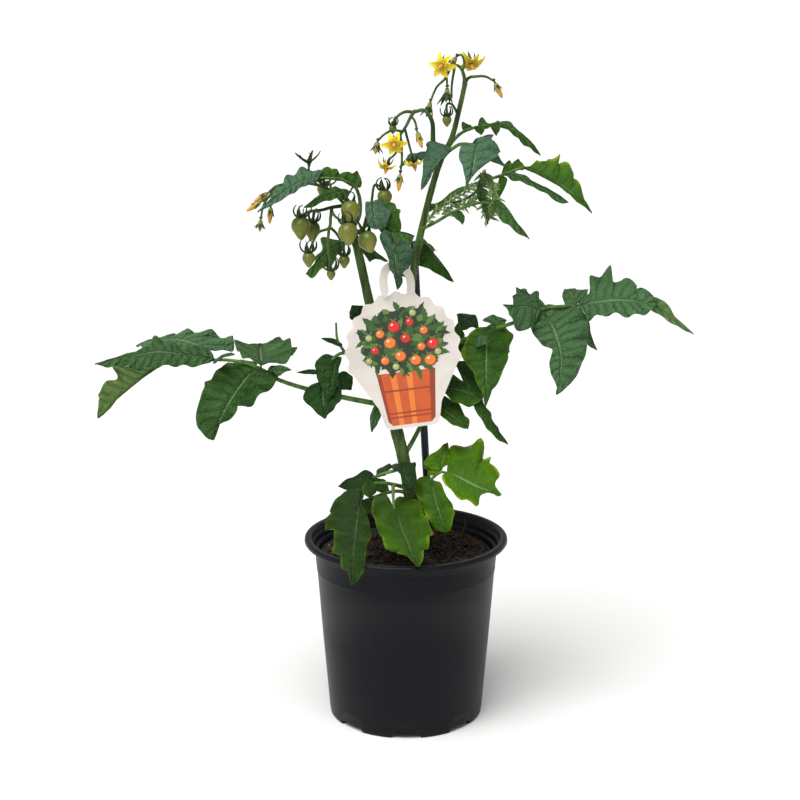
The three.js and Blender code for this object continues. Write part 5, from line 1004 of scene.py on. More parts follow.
             "left": [[3.4, 5], [10, 3.9], [16, 4.1], [20, 1.6], [26, 0.6], [33, 0.6], [39, 0.6],
             [44, 0.6]], "right": [[7, 3.6], [13, 2.6], [19, 2.7], [26, 3.2], [34, 3.2], [40, 3.8],
             [46, 3.8]]},
            {"at": [63, 382, -19], "tip": [59, 362, -8], "face": [0.4, 0.7, 1], "left": [[-0.4, 5],
             [7, 4.7], [14, 3]], "right": [[4.7, 0.6], [12, 2.6], [19, 2.4]]},
            {"at": [70, 385, -21], "tip": [75, 393, -36], "left": [[5, 1.1],
             [9, 1.7]], "right": [[8, 7], [12, 4.6]]},
            {"at": [64, 383, -19], "tip": [69, 392, -32], "left": [[6, 1.1],
             [10, 1.2]], "right": [[9, 5], [13, 3]]},
            {"at": [43, 375, -15], "tip": [24, 365, -32], "width": 15, "face": [0.2, 1, 0.6], "lobes": 3},
            {"at": [28, 366, -9], "tip": [16, 352, -26], "width": 13, "face": [0, 1, 0.6], "lobes": 2},
        ],
    },
    "leaf_inner_right": {
        "stalks": [
            {"points": [[10, 346, 0], [20, 351, 9], [32, 358, 18], [42, 362, 24], [52, 364, 28],
             [59, 363, 31]], "from": 1.3, "to": 0.8},
        ],
        "leaflets": [
            {"at": [59, 363, 31], "tip": [83, 339, 48], "face": [0.1, 1, 0.9], "fold": 0.1,
             "left": [[-2.5, 2.5], [2, 4.4], [8, 4.3], [14, 2.2], [20, 0.7], [25, 0.6], [29, 0.6]],
             "right": [[1.6, 4.9], [8, 6], [14, 6], [19, 5], [24, 4.5], [29, 3]]},
            {"at": [34, 358, 19], "tip": [38, 349, 32], "face": [0, 0.7, 1], "left": [[-0.3, 2.3],
             [8, 3.3], [12, 2.1]], "right": [[-0.5, 3.2], [7, 3.1], [11, 1.5]]},
            {"at": [52, 364, 28], "tip": [55, 349, 38], "face": [0.2, 0.7, 1], "left": [[4, 1.4],
             [10, 1.5], [13, 1.2]], "right": [[4.5, 2.1], [9, 1.1], [13, 0.6]]},
            {"at": [50, 364, 27], "tip": [49, 379, 28], "face": [0, 0.8, 1], "left": [[3.9, 2.3],
             [10, 2.2]], "right": [[3.7, 2.3], [10, 1.7]]},
        ],
    },
}


# How light each leaf is, partly its own green and partly painted light (leaves that face up, and one lit from
# behind, set lighter), and its margin: above zero for a yellow edge, below for a grey-blue painted sheen.
# each gives single leaflets their own tone and margin, by their place in the list.
leafLooks = {
    "leaf_front_left": {"tone": 0.05, "margin": 0.2, "each": {1: (0.1, 0.7)}},
    "leaf_front_right": {"tone": 0.4, "margin": 1.4, "each": {0: (0.3, 0.8)}},
    "leaf_low_dark": {"tone": 0.25, "margin": 0.0}, "leaf_low_back": {"tone": 0.4, "margin": 0.3},
    "leaf_left_big": {"tone": 0.68, "margin": -0.1, "each": {0: (0.62, 0.1), 4: (0.8, -0.4)}},
    "leaf_left_small": {"tone": 0.5, "margin": 0.0},
    "leaf_right_big": {"tone": 0.8, "margin": -0.3, "each": {7: (0.62, 0.6), 8: (0.35, 0)}},
    "leaf_right_low": {"tone": 0.35, "margin": 0.4}, "leaf_top_right": {"tone": 0.55, "margin": 0.4},
    "leaf_upper_right": {"tone": 0.5, "margin": 0.8, "each": {1: (0.7, 0.1)}},
    "leaf_top_left": {"tone": 0.55, "margin": 0.4, "each": {0: (0.85, -0.9)}},
    "leaf_centre": {"tone": 0.7, "margin": 0.5, "each": {0: (0.6, -0.9)}},
    "leaf_hook": {"tone": 0.4, "margin": -0.6}, "leaf_back_left": {"tone": 0.65, "margin": 0.5},
    "leaf_upper_front": {"tone": 0.7, "margin": -0.9, "each": {0: (0.45, -0.9)}},
    "leaf_inner_right": {"tone": 0.65, "margin": 0.2},
}
plainLook = {"tone": 0.5, "margin": 0.3}
for number, (name, leaf) in enumerate(leaves.items()):
    buildLeaf(name, leaf, leafLooks.get(name, plainLook), seed=number + 1)
print("leaves grown:", len(leaves))


# Fruits, flowers and their stalks


def growBladeStrip(bm, centre, axis, out, strip, finish, sway):
    # one sepal or petal: a pointed strip that starts at a lean and turns along its length
    across = axis.cross(out)
    steps = strip.get("steps", 10)
    grid = bmesh.ops.create_grid(bm, x_segments=steps, y_segments=4, size=1)["verts"]
    skin = bm.loops.layers.uv["skin"]
    faces = list({face for vert in grid for face in vert.link_faces})
    for face in faces:
        face.material_index = finish
        face.smooth = True
        for loop in face.loops:
            loop[skin].uv = ((loop.vert.co.x + 1) / 2, (loop.vert.co.y + 1) / 2)
    line = [centre.copy()]
    for i in range(steps):
        lean = strip["lean"] + strip["turn"] * (i + 0.5) / steps
        line.append(line[-1] + (out * math.cos(lean) + axis * math.sin(lean)) * strip["reach"] * mm / steps)
    for vert in grid:
        share, sign = (vert.co.x + 1) / 2, vert.co.y
        wide = math.sin(math.pi * min(0.99, 0.2 + 0.8 * share) ** strip.get("belly", 1.0)) ** 0.8
        half = strip["width"] / 2 * mm * wide
        lean = strip["lean"] + strip["turn"] * share
        lift = axis * math.cos(lean) - out * math.sin(lean)
        aside = sign * half + sway * strip["reach"] * mm * share ** 2
        vert.co = line[round(share * steps)] + across * aside + lift * half * 0.5 * sign * sign
    bmesh.ops.recalc_face_normals(bm, faces=faces)
    thicken(bm, grid, faces, strip["thickness"] * mm)


startSide = Vector((0.3, 0.9, 0.2))
sepalCount = 5

# How sepals stand: claws over a fruit, a sheath round a bud, a star behind a bloom, open round a
# faded flower, and hooks where nothing is left. vary is how much each one's turn differs.
sepalForms = {
    "fruit": {"stretch": 1.9, "lean": 0.1, "turn": -2.5, "vary": 0.8, "width": 3.0, "thickness": 0.7,
              "belly": 0.45},
    "bud": {"stretch": 1.5, "lean": 1.0, "turn": 0.35, "vary": 0.35, "width": 2.0, "thickness": 0.35},
    "bloom": {"stretch": 1.3, "lean": -0.5, "turn": -0.8, "vary": 0.35, "width": 1.8, "thickness": 0.35},
    "faded": {"stretch": 1.2, "lean": 1.0, "turn": 0.1, "vary": 0.35, "width": 2.4, "thickness": 0.4},
    "hooks": {"stretch": 1.8, "lean": 0.35, "turn": 1.4, "vary": 0.8, "width": 2.8, "thickness": 0.7,
              "belly": 0.45},
}


def growCalyx(bm, end, rng, finish):
    centre, axis = spot(end["at"]), facing(end["dir"])
    side = axis.cross(startSide).normalized()
    kind = next((kind for kind in ("bud", "bloom", "faded", "fruit") if kind in end), "hooks")
    form, size = sepalForms[kind], end.get("sepals", 6)
    for i in range(sepalCount):
        out = Matrix.Rotation(i / sepalCount * math.tau, 3, axis) @ side
        strip = dict(form)
        strip["reach"] = size * form["stretch"] * rng.uniform(0.9, 1.12)
        strip["turn"] += rng.uniform(-1, 1) * form["vary"]
        strip["width"] *= (size / 6) ** 0.7
        growBladeStrip(bm, centre + axis * 0.3 * mm, axis, out, strip, finish, sway=rng.uniform(-0.2, 0.2))


def newBall(bm, segments, rings):
    made = bmesh.ops.create_uvsphere(bm, u_segments=segments, v_segments=rings, radius=1, calc_uvs=True)
    return made["verts"]


def growKnob(bm, centre, axis, form, finish, segments=14, rings=8, ridge=0.0):
    # a turned body along the axis from its radii at even heights
    ball = newBall(bm, segments, rings)
    turned = Vector((0, 0, 1)).rotation_difference(axis).to_matrix()
    length, shape = form["length"], form["shape"]
    skin = bm.loops.layers.uv["skin"]
    faces = list({face for vert in ball for face in vert.link_faces})
    heights = {vert: (1 - math.acos(max(-1, min(1, vert.co.z))) / math.pi) for vert in ball}
    for face in faces:
        face.material_index = finish
        face.smooth = True
        for loop in face.loops:
            loop[skin].uv = (heights[loop.vert], math.atan2(loop.vert.co.y, loop.vert.co.x) / math.tau)
    for vert in ball:
        height = heights[vert]
        k = min(int(height * (len(shape) - 1)), len(shape) - 2)
        wide = shape[k] + (shape[k + 1] - shape[k]) * (height * (len(shape) - 1) - k)
        angle = math.atan2(vert.co.y, vert.co.x)
        wide *= 1 + ridge * math.cos(angle * 6)
        flat = Vector((math.cos(angle) * wide, math.sin(angle) * wide, height * length))
        if height < 1e-6 or height > 1 - 1e-6:
            flat = Vector((0, 0, height * length))
        vert.co = centre + turned @ (flat * mm)


fruitForm = {"segments": 36, "rings": 24, "ribs": 0.012, "taper": 0.12, "nose": 0.45, "dimple": 0.12}


def growFruit(bm, at, axis, radius, tone):
    form = fruitForm
    top = at - axis * 0.15 * mm
    ball = newBall(bm, form["segments"], form["rings"])
    turned = Vector((0, 0, 1)).rotation_difference(axis).to_matrix()
    skin, toneLayer = bm.loops.layers.uv["skin"], bm.verts.layers.float["tone"]
    fall = {vert: math.acos(max(-1, min(1, vert.co.z))) for vert in ball}
    for face in bm.faces:
        face.smooth = True
        for loop in face.loops:
            loop[skin].uv = (math.atan2(loop.vert.co.y, loop.vert.co.x) / math.tau, fall[loop.vert] / math.pi)
    for vert in ball:
        turn, angle = fall[vert], math.atan2(vert.co.y, vert.co.x)
        reach = math.sin(turn) ** 0.9 * (1 + form["ribs"] * math.cos(angle * 5 + tone * 9))
        reach *= 1 - form["taper"] * max(0, min(1, (turn - 1.8) / 0.8))
        nose = form["nose"] * max(0, -math.cos(turn)) ** 6
        dimple = form["dimple"] * math.exp(-(turn / 0.35) ** 2)
        flat = Vector((math.cos(angle) * reach, math.sin(angle) * reach, math.cos(turn) - nose - dimple - 1))
        vert.co = top + turned @ (flat * radius * mm)
        vert[toneLayer] = tone


def skinMesh():
    bm = bmesh.new()
    bm.loops.layers.uv.new("skin")
    bm.verts.layers.float.new("tone")
    return bm


budForm = {"length": 12.0, "shape": [0.9, 1.7, 2.0, 1.8, 1.5, 1.1, 0.4]}
coneForm = {"length": 6.0, "shape": [1.2, 1.6, 1.55, 1.25, 0.85, 0.5, 0.15]}
petalForm = {
    "count": 6, "stretch": 1.2, "lean": 0.2, "turn": -1.0, "width": 5.6, "belly": 0.55, "thickness": 0.25,
}
fadedForm = {"length": 9.0, "shape": [0.8, 1.5, 2.0, 2.1, 1.6, 1.0, 0.4]}
knuckleForm = {"length": 2.4, "shape": [0.5, 1.1, 1.3, 1.0, 0.5]}


def growBloom(bm, centre, axis, reach, rng):
    growKnob(bm, centre, axis, coneForm, 1, ridge=0.12)
    side = axis.cross(startSide).normalized()
    for i in range(petalForm["count"]):
        out = Matrix.Rotation((i + 0.5) / petalForm["count"] * math.tau, 3, axis) @ side
        petal = dict(petalForm)
        petal["reach"] = reach * petalForm["stretch"] * rng.uniform(0.82, 1.12)
        petal["turn"] += rng.uniform(-0.7, 0.9)
        growBladeStrip(bm, centre, axis, out, petal, 0, sway=rng.uniform(-0.12, 0.12))


bloomSkins = [petalYellow, coneOrange, budYellow]


def buildTruss(name, truss, seed):
    rng = random.Random(seed)
    bm = skinMesh()
    for stalk in truss["stalks"]:
        points = [spot(place) for place in stalk["points"]]
        path, radii = stalkPath(points, stalk.get("from", 1.2), stalk.get("to", 0.8), 8 * (len(points) - 1))
        growTube(bm, path, radii, sides=8)
    for end in truss["ends"]:
        at, axis = spot(end["at"]), facing(end["dir"])
        growCalyx(bm, end, rng, 1)
        growKnob(bm, at - axis * 2.0 * mm, axis, knuckleForm, 0, 10, 6)
        if "faded" in end:
            growKnob(bm, at, axis, fadedForm, 2, 10, 8, ridge=0.15)
        if "fruit" in end:
            fruit, (node, radius) = skinMesh(), end["fruit"]
            growFruit(fruit, at, -axis, radius, rng.uniform(0, 0.35))
            toObject(fruit, f"{node}_grown", [greenFruit], node)
        if "bud" in end:
            bud, node = skinMesh(), end["bud"]
            growKnob(bud, at + axis * 0.7 * mm, axis, budForm, 2, ridge=0.12)
            toObject(bud, f"{node}_grown", bloomSkins, node)
        if "bloom" in end:
            bloom, (node, reach) = skinMesh(), end["bloom"]
            growBloom(bloom, at + axis * 0.7 * mm, axis, reach, rng)
            toObject(bloom, f"{node}_grown", bloomSkins, node)
    sepals = shootGreen if name == "truss_young" else sepalGreen
    toObject(bm, f"{name}_grown", [trussStalk, sepals, fadedPetal], name)


# Each truss: its stalks, and what its ends carry: a fruit by name and radius, a bloom by name and the
# reach of its petals, a bud by name, or a faded flower
thin = {"from": 0.9, "to": 0.7}
trusses = {
    "truss_fruit": {
        "stalks": [
            {"points": [[-37, 354, -2], [-40, 361, 4], [-49, 361, 12], [-57, 359, 18], [-65, 358, 20],
             [-71, 355, 20]], "from": 1.5, "to": 0.9},
            {"points": [[-50, 361, 13], [-51, 354, 20], [-52, 347, 22], [-59, 344, 24], [-66, 331, 26]]},
            {"points": [[-52, 347, 22], [-53, 335, 22], [-51, 319, 22]], "from": 1, "to": 0.7},
            {"points": [[-52, 348, 22], [-47, 343, 16], [-43, 335, 13], [-42, 329, 13]], "from": 1,
             "to": 0.7},
            {"points": [[-43, 361, 7], [-41, 365, 10], [-38, 364, 14]], "from": 1},
            {"points": [[-50, 358, 16], [-47, 354, 27], [-40, 350, 31]], "from": 1},
            {"points": [[-60, 358, 18], [-62, 358, 11], [-63, 352, 8]], "from": 1},
        ],
        "ends": [
            {"at": [-71, 355, 20], "dir": [0, -1, 0.1], "fruit": ["fruit_1", 6.4]},
            {"at": [-63, 352, 8], "dir": [-0.1, -1, 0], "fruit": ["fruit_2", 5.4]},
            {"at": [-38, 364, 14], "dir": [0.1, -0.7, 0.7], "fruit": ["fruit_3", 6.4]},
            {"at": [-40, 350, 31], "dir": [0.1, -0.8, 0.5], "fruit": ["fruit_4", 6.4]},
            {"at": [-66, 331, 26], "dir": [0, -1, 0.1], "fruit": ["fruit_6", 4.3]},
            {"at": [-42, 329, 13], "dir": [0, -1, 0.1], "fruit": ["fruit_7", 3.8]},
            {"at": [-51, 319, 22], "dir": [0, -1, 0.1], "fruit": ["fruit_8", 3]},
        ],
    },
    "truss_fruit_side": {
        "stalks": [
            {"points": [[-34, 340, -2], [-34, 345, 7], [-28, 344, 16]], "from": 1.2},
        ],
        "ends": [
            {"at": [-28, 344, 16], "dir": [0.3, -0.8, 0.6], "fruit": ["fruit_5", 6.4]},
        ],
    },
    "truss_fruit_high": {
        "stalks": [
            {"points": [[-35, 342, -2], [-25, 351, -9], [-23, 367, -11], [-21, 376, -9], [-15, 373, -3]],
             "from": 1.2},
        ],
        "ends": [
            {"at": [-15, 373, -3], "dir": [0.1, -0.9, 0.2], "fruit": ["fruit_10", 5]},
        ],
    },
    "truss_left_buds": {
        "stalks": [
            {"points": [[-38, 357, -2], [-46, 368, -5], [-57, 375, -6], [-70, 377, -6], [-87, 375, -4],
             [-92, 371, 0]], "from": 1.3, "to": 0.8},
            {"points": [[-86, 375, -4], [-92, 368, 6], [-97, 365, 8]], **thin},
            {"points": [[-85, 375, -4], [-90, 366, -6], [-91, 362, -6]], **thin},
            {"points": [[-88, 374, -3], [-96, 362, -10], [-98, 353, -10]], **thin},
            {"points": [[-60, 376, -6], [-65, 384, -2], [-65, 390, 0]], **thin},
            {"points": [[-50, 371, -5], [-52, 378, -12], [-55, 377, -16]], **thin},
        ],
        "ends": [
            {"at": [-92, 371, 0], "dir": [-0.8, -0.5, 0.2], "sepals": 5, "bud": "bloom_left_1"},
            {"at": [-97, 365, 8], "dir": [-0.8, -0.5, 0.2], "sepals": 5, "bud": "bloom_left_2"},
            {"at": [-91, 362, -6], "dir": [-0.1, -1, 0], "sepals": 5, "bud": "bloom_left_3"},
            {"at": [-98, 353, -10], "dir": [-0.1, -1, 0], "sepals": 6, "faded": True},
            {"at": [-65, 390, 0], "dir": [0, 1, 0.2], "sepals": 6},
            {"at": [-55, 377, -16], "dir": [-0.2, -0.9, 0], "sepals": 6, "fruit": ["fruit_9", 4]},
        ],
    },
    "truss_middle": {
        "stalks": [
            {"points": [[22, 390, -1], [18, 404, -2], [17, 418, 3], [12, 425, 3], [5, 424, 3],
             [-1, 424, 3], [-6, 421, 3], [-9, 416, 3]], "from": 2, "to": 0.8},
            {"points": [[6, 425, 3], [3, 421, 5], [0, 415, 6], [-4, 409, 7], [-8, 403, 13]]},
            {"points": [[-4, 409, 7], [-7, 397, 2], [-11, 393, 1], [-13, 389, 1]], **thin},
            {"points": [[-4, 409, 7], [-3, 398, 10], [-3, 391, 12], [-4, 384, 14]], **thin},
            {"points": [[-1, 413, 6], [2, 402, -2], [5, 391, -4]], **thin},
            {"points": [[3, 422, 5], [6, 417, 8], [7, 412, 9]], **thin},
            {"points": [[-2, 411, 6], [-9, 412, 8], [-15, 409, 8], [-19, 405, 8]], **thin},
        ],
        "ends": [
            {"at": [-9, 416, 3], "dir": [0, -1, 0], "sepals": 4, "fruit": ["fruit_12", 2.6]},
            {"at": [-8, 403, 13], "dir": [0, -0.2, 1], "bloom": ["bloom_star", 8]},
            {"at": [-13, 389, 1], "dir": [-0.2, -1, 0.3], "sepals": 5, "bloom": ["bloom_middle_left", 7]},
            {"at": [-4, 384, 14], "dir": [-0.1, -1, 0.2], "sepals": 5, "bud": "bloom_middle_low"},
            {"at": [5, 391, -4], "dir": [0.2, -1, 0.1], "sepals": 5, "bloom": ["bloom_middle_right", 7]},
            {"at": [7, 412, 9], "dir": [0.3, -1, 0.3], "sepals": 5, "bud": "bloom_middle_side"},
            {"at": [-19, 405, 8], "dir": [-0.2, -1, 0.1], "sepals": 7, "faded": True},
        ],
    },
    "truss_top": {
        "stalks": [
            {"points": [[38, 441, 0], [41, 446, 1], [46, 447, 2], [52, 447, 3], [58, 444, 4]],
             "from": 1.2, "to": 0.7},
            {"points": [[38, 441, 0], [38, 448, 4], [34, 454, 8], [30, 453, 10], [27, 448, 10],
             [27, 440, 10]], "from": 1.2, "to": 0.7},
            {"points": [[28, 450, 10], [25, 445, 3], [20, 440, 0], [16, 431, -1]], **thin},
            {"points": [[28, 450, 10], [24, 454, 14]], **thin},
            {"points": [[38, 446, 2], [37, 452, -7], [40, 458, -9], [43, 456, -5]], **thin},
            {"points": [[37, 450, 5], [38, 457, 3], [36, 461, 2], [33, 460, 2]], **thin},
            {"points": [[32, 454, 9], [30, 441, 4], [30, 433, 3]], **thin},
        ],
        "ends": [
            {"at": [58, 444, 4], "dir": [0.5, -1, 0.1], "sepals": 5, "bud": "bloom_top_side"},
            {"at": [27, 440, 10], "dir": [0, -1, 0], "sepals": 10, "faded": True},
            {"at": [16, 431, -1], "dir": [-0.2, -1, 0], "sepals": 9, "faded": True},
            {"at": [24, 454, 14], "dir": [-0.5, -0.2, 1], "bloom": ["bloom_top_left", 9]},
            {"at": [43, 456, -5], "dir": [0.1, -0.7, 0.7], "bloom": ["bloom_top_right", 9]},
            {"at": [33, 460, 2], "dir": [-0.5, -0.8, 0.1], "sepals": 5, "faded": True},
        ],
    },
    "truss_hanging": {
        "stalks": [
            {"points": [[34, 423, 0], [30, 429, 5], [27, 429, 8], [27, 422, 9]], **thin},
        ],
        "ends": [
            {"at": [27, 422, 9], "dir": [0, -1, 0], "sepals": 4, "fruit": ["fruit_11", 3.1]},
        ],
    },
    "truss_young": {
        "stalks": [
            {"points": [[15, 362, -1], [26, 363, 4], [36, 365, 8], [44, 369, 10], [49, 374, 11],
             [51, 378, 11]], "from": 1.2, "to": 0.8},
            {"points": [[47, 372, 11], [52, 371, 22], [54, 362, 26]], **thin},
        ],
        "ends": [
            {"at": [51, 378, 11], "dir": [0.2, 1, 0.2], "sepals": 6, "faded": True},
            {"at": [54, 362, 26], "dir": [0.1, -1, 0], "sepals": 8, "faded": True},
        ],
    },
}


for number, (name, truss) in enumerate(trusses.items()):
    buildTruss(name, truss, seed=number + 40)
print("trusses grown:", len(trusses))

# Unfolding leaves round the young truss: fine leaflets on both sides of thin stalks

youngShoots = {
    "stalks": [
        {"points": [[13, 350, 8], [20, 358, 8], [27, 363, 8], [35, 368, 8], [49, 376, 8]], "reach": 6},
        {"points": [[49, 383, 20], [51, 374, 20], [53, 366, 20], [56, 352, 20]], "reach": 8},
        {"points": [[52, 384, 21], [57, 375, 22], [60, 368, 22], [61, 361, 22]], "reach": 7},
        {"points": [[24, 356, 6], [32, 362, 3], [44, 364, 2], [52, 372, 4]], "reach": 8},
    ],
    "thick": 0.7, "pairs": 12, "lean": 0.7,
    "strip": {"lean": 0.2, "turn": -0.6, "width": 2.2, "thickness": 0.35, "belly": 0.6, "steps": 6},
}


def buildShoots():
    form, rng, bm = youngShoots, random.Random(91), skinMesh()
    for stalk in form["stalks"]:
        path = smoothPath([spot(place) for place in stalk["points"]], form["pairs"] * 2)
        radii = [form["thick"] * mm * (1 - 0.5 * i / len(path)) for i in range(len(path))]
        growTube(bm, path, radii, sides=6)
        for i, (here, there) in enumerate(zip(path[1:], path[2:])):
            along = (there - here).normalized()
            hand = 1 if i % 2 else -1
            out = (Vector((0, -1, 0.3)).cross(along).normalized() * hand + along * form["lean"]).normalized()
            axis = Vector((rng.uniform(-0.5, 0.5), -1, rng.uniform(0, 1))).cross(out).cross(out) * -1
            strip = dict(form["strip"])
            strip["reach"] = stalk["reach"] * rng.uniform(0.3, 1.15)
            strip["turn"] += rng.uniform(-1.6, 1.0)
            growBladeStrip(bm, here, axis.normalized(), out, strip, 1, sway=rng.uniform(-0.15, 0.15))
    toObject(bm, "shoots_young", [trussStalk, shootGreen], None)


buildShoots()
print("young shoots grown:", len(youngShoots["stalks"]))

# Stems and stake

stems = {
    "main": {
        "points": [[4, 60, 2], [6, 111, 2], [3.5, 156, 2], [-1.5, 185, 3], [-6.5, 206, 3], [-13, 231, 2],
                   [-19, 267, 0], [-27, 305, -2], [-31, 324, -2], [-35, 342, -2], [-38, 358, -2]],
        "from": 5.8, "to": 2.6,
    },
    "right": {
        "points": [[-9, 212, 3], [-8, 222, 3], [-3, 263, 3], [3, 301, 3], [5, 318, 2], [10, 344, 0],
                   [16, 369, -1], [23, 392, -1], [30, 406, 0], [35, 425, 0], [39, 443, 0]],
        "from": 3.6, "to": 1.5,
    },
}

stemForm = {
    "sides": 24, "swell": 0.10, "swellGrain": 60, "bumps": 0.04, "bumpGrain": 300,
    "hairs": 2600, "hairLength": 1.5, "hairRadius": 0.05, "hairTip": 0.01,
}


def buildStems():
    bm = bmesh.new()
    paths = []
    for stem in stems.values():
        points = [spot(place) for place in stem["points"]]
        count = 14 * (len(points) - 1)
        path = smoothPath(points, count)
        radii = []
        for i, point in enumerate(path):
            radius = stem["from"] + (stem["to"] - stem["from"]) * i / count
            knots = 1 + stemForm["swell"] * noise.noise(point * stemForm["swellGrain"])
            knots += stemForm["bumps"] * noise.noise(point * stemForm["bumpGrain"])
            radii.append(radius * mm * knots)
        growTube(bm, path, radii, sides=stemForm["sides"], ridge=0.03)
        paths.append((path, radii))
    toObject(bm, "stem_grown", [mainStem], "stem")
    return paths


def buildHairs(paths):
    # short soft hairs that stand out of the stems
    rng = random.Random(7)
    bm = bmesh.new()
    for path, radii in paths:
        count = int(stemForm["hairs"] * len(path) / sum(len(other) for other, _ in paths))
        for _ in range(count):
            i = rng.randrange(8, len(path) - 2)
            axis = (path[i + 1] - path[i]).normalized()
            out = (Matrix.Rotation(rng.uniform(0, math.tau), 3, axis) @ axis.orthogonal()).normalized()
            at = path[i].lerp(path[i + 1], rng.random()) + out * radii[i] * 0.97
            lean = (out + axis * rng.uniform(-0.35, 0.35)).normalized()
            length = stemForm["hairLength"] * mm * rng.uniform(0.5, 1.1)
            turned = Vector((0, 0, 1)).rotation_difference(lean).to_matrix().to_4x4()
            bmesh.ops.create_cone(
                bm, segments=3, radius1=stemForm["hairRadius"] * mm, radius2=stemForm["hairTip"] * mm,
                depth=length, matrix=Matrix.Translation(at + lean * length / 2) @ turned, cap_ends=True)
    toObject(bm, "stem_hairs", [hairPale], None)


stemPaths = buildStems()
print("stems grown")

stakeForm = {"radius": 2.7, "low": (20.8, 62, -11), "high": (5, 338, -11), "sides": 20, "wear": 0.02}


def buildStake():
    bm = bmesh.new()
    path = smoothPath([spot(stakeForm["low"]), spot(stakeForm["high"])], 30)
    radii = [stakeForm["radius"] * mm * (1 + stakeForm["wear"] * noise.noise(point * 90)) for point in path]
    radii[-1] *= 0.8
    growTube(bm, path, radii, sides=stakeForm["sides"])
    toObject(bm, "stake_coated", [stakeCoat], "stake")


buildStake()

# Pot

potForm = {
    "height": 130, "rimRadius": 71.5, "mouthRadius": 66.5, "lipDrop": 4, "ledgeDrop": 9,
    "wallRadius": 64.8, "baseRadius": 54.5, "wall": 1.8, "stepDrop": 23, "stepDepth": 0.8,
    "footHeight": 3.5, "footWall": 5, "floorLift": 2, "padRadius": 20, "notches": 8, "notchWidth": 20,
    "segments": 160,
}


def potWallAt(height):
    rise = height / (potForm["height"] - potForm["lipDrop"])
    return potForm["baseRadius"] + (potForm["wallRadius"] - potForm["baseRadius"]) * rise


def turnProfile(bm, profile, segments):
    # spin a chain of (radius, height) points round the axis
    verts = [bm.verts.new((radius * mm, 0, height * mm)) for radius, height in profile]
    edges = [bm.edges.new(pair) for pair in zip(verts, verts[1:])]
    bmesh.ops.spin(bm, geom=verts + edges, cent=(0, 0, 0), axis=(0, 0, 1), angle=math.tau,
                   steps=segments, use_merge=True)
    bmesh.ops.remove_doubles(bm, verts=bm.verts[:], dist=1e-6)
    bmesh.ops.recalc_face_normals(bm, faces=bm.faces[:])


def buildPot():
    form = potForm
    top, ledge = form["height"], form["height"] - form["ledgeDrop"]
    lip, step = top - form["lipDrop"], top - form["stepDrop"]
    floor = form["footHeight"] + form["wall"]
    rim, mouth, base = form["rimRadius"], form["mouthRadius"], form["baseRadius"]

    def inner(height):
        return potWallAt(height) - form["wall"] - form["stepDepth"]

    profile = [
        (0, 0), (form["padRadius"], 0), (form["padRadius"] + 3, form["floorLift"]),
        (base - form["footWall"], form["floorLift"]), (base - form["footWall"] + 1, 0),
        (base - 0.6, 0), (base, 0.6), (potWallAt(form["footHeight"]), form["footHeight"]),
        (potWallAt(12), 12), (potWallAt(60), 60),
        (potWallAt(step) - form["stepDepth"] / 2, step), (potWallAt(step), step + 0.15),
        (potWallAt(step) + 0.1, step + 0.6), (potWallAt(step), step + 1.2),
        (potWallAt(lip - 3) - 0.1, lip - 3), (potWallAt(lip) + 0.4, lip - 0.8),
        (potWallAt(lip) + 1.2, lip - 0.2), (rim - 1.6, lip), (rim - 0.5, lip + 0.35), (rim, lip + 1.1),
        (rim + 0.02, lip + 2), (rim - 0.1, top - 1.1), (rim - 0.5, top - 0.35), (rim - 1.2, top),
        (mouth + 1.4, top), (mouth + 0.5, top - 0.25), (mouth, top - 0.9), (mouth - 0.4, ledge + 0.6),
        (mouth - 0.9, ledge), (inner(ledge) + 0.4, ledge - 0.3), (inner(ledge), ledge - 1),
        (inner(60), 60), (inner(floor), floor), (0, floor),
    ]
    bm = bmesh.new()
    turnProfile(bm, profile, form["segments"])
    # notches in the foot, sloped at their ends
    for vert in bm.verts:
        radius = math.hypot(vert.co.x, vert.co.y) / mm
        if vert.co.z / mm < 0.7 and radius > base - form["footWall"] + 0.5:
            turn = (math.atan2(vert.co.y, vert.co.x) + math.pi / 2) / math.tau * form["notches"]
            apart = abs(turn - round(turn)) / form["notches"] * math.tau * base
            if apart < form["notchWidth"] / 2:
                depth = min(1, (form["notchWidth"] / 2 - apart) / 1.8 + 0.15)
                vert.co.z += form["footHeight"] * mm * depth * 0.95
    toObject(bm, "pot_moulded", [potPlastic], "pot")


buildPot()
print("pot and stake made")

# Soil

soilForm = {
    "drop": 12, "crown": 5, "clearance": 0.6, "rings": 46, "segments": 150,
    "clods": 2.3, "clodSize": 9, "crumbs": 1700, "fibres": 420, "paleBits": 200, "seed": 11,
}


def soilEdge(height):
    return potWallAt(height) - potForm["wall"] - potForm["stepDepth"] - soilForm["clearance"]


def soilTop(x, y):
    # height of the loose surface at a place, in millimetres
    radius = math.hypot(x, y)
    top = potForm["height"] - soilForm["drop"]
    edge = soilEdge(top)
    crown = soilForm["crown"] * max(0, 1 - (radius / edge) ** 2) * (1 - 0.2 * radius / edge)
    rough = noise.fractal(Vector((x, y, 3)) / soilForm["clodSize"], 0.8, 2.1, 5)
    return top + crown - 0.8 + soilForm["clods"] * rough * min(1, 0.4 + (edge - radius) / 12)


def buildSoil():
    form = soilForm
    top = potForm["height"] - form["drop"]
    floor = potForm["footHeight"] + potForm["wall"] + 0.3
    edge = soilEdge(top)
    profile = [(edge * i / form["rings"], top) for i in range(form["rings"] + 1)]
    profile += [(soilEdge(top - 2), top - 2), (soilEdge(60), 60), (soilEdge(floor), floor), (0, floor)]
    bm = bmesh.new()
    turnProfile(bm, profile, form["segments"])
    for vert in bm.verts:
        if vert.co.z > (top - 0.5) * mm:
            x, y = vert.co.x / mm, vert.co.y / mm
            vert.co.z = soilTop(x, y) * mm
    toObject(bm, "soil_mix", [soilGround], "soil")


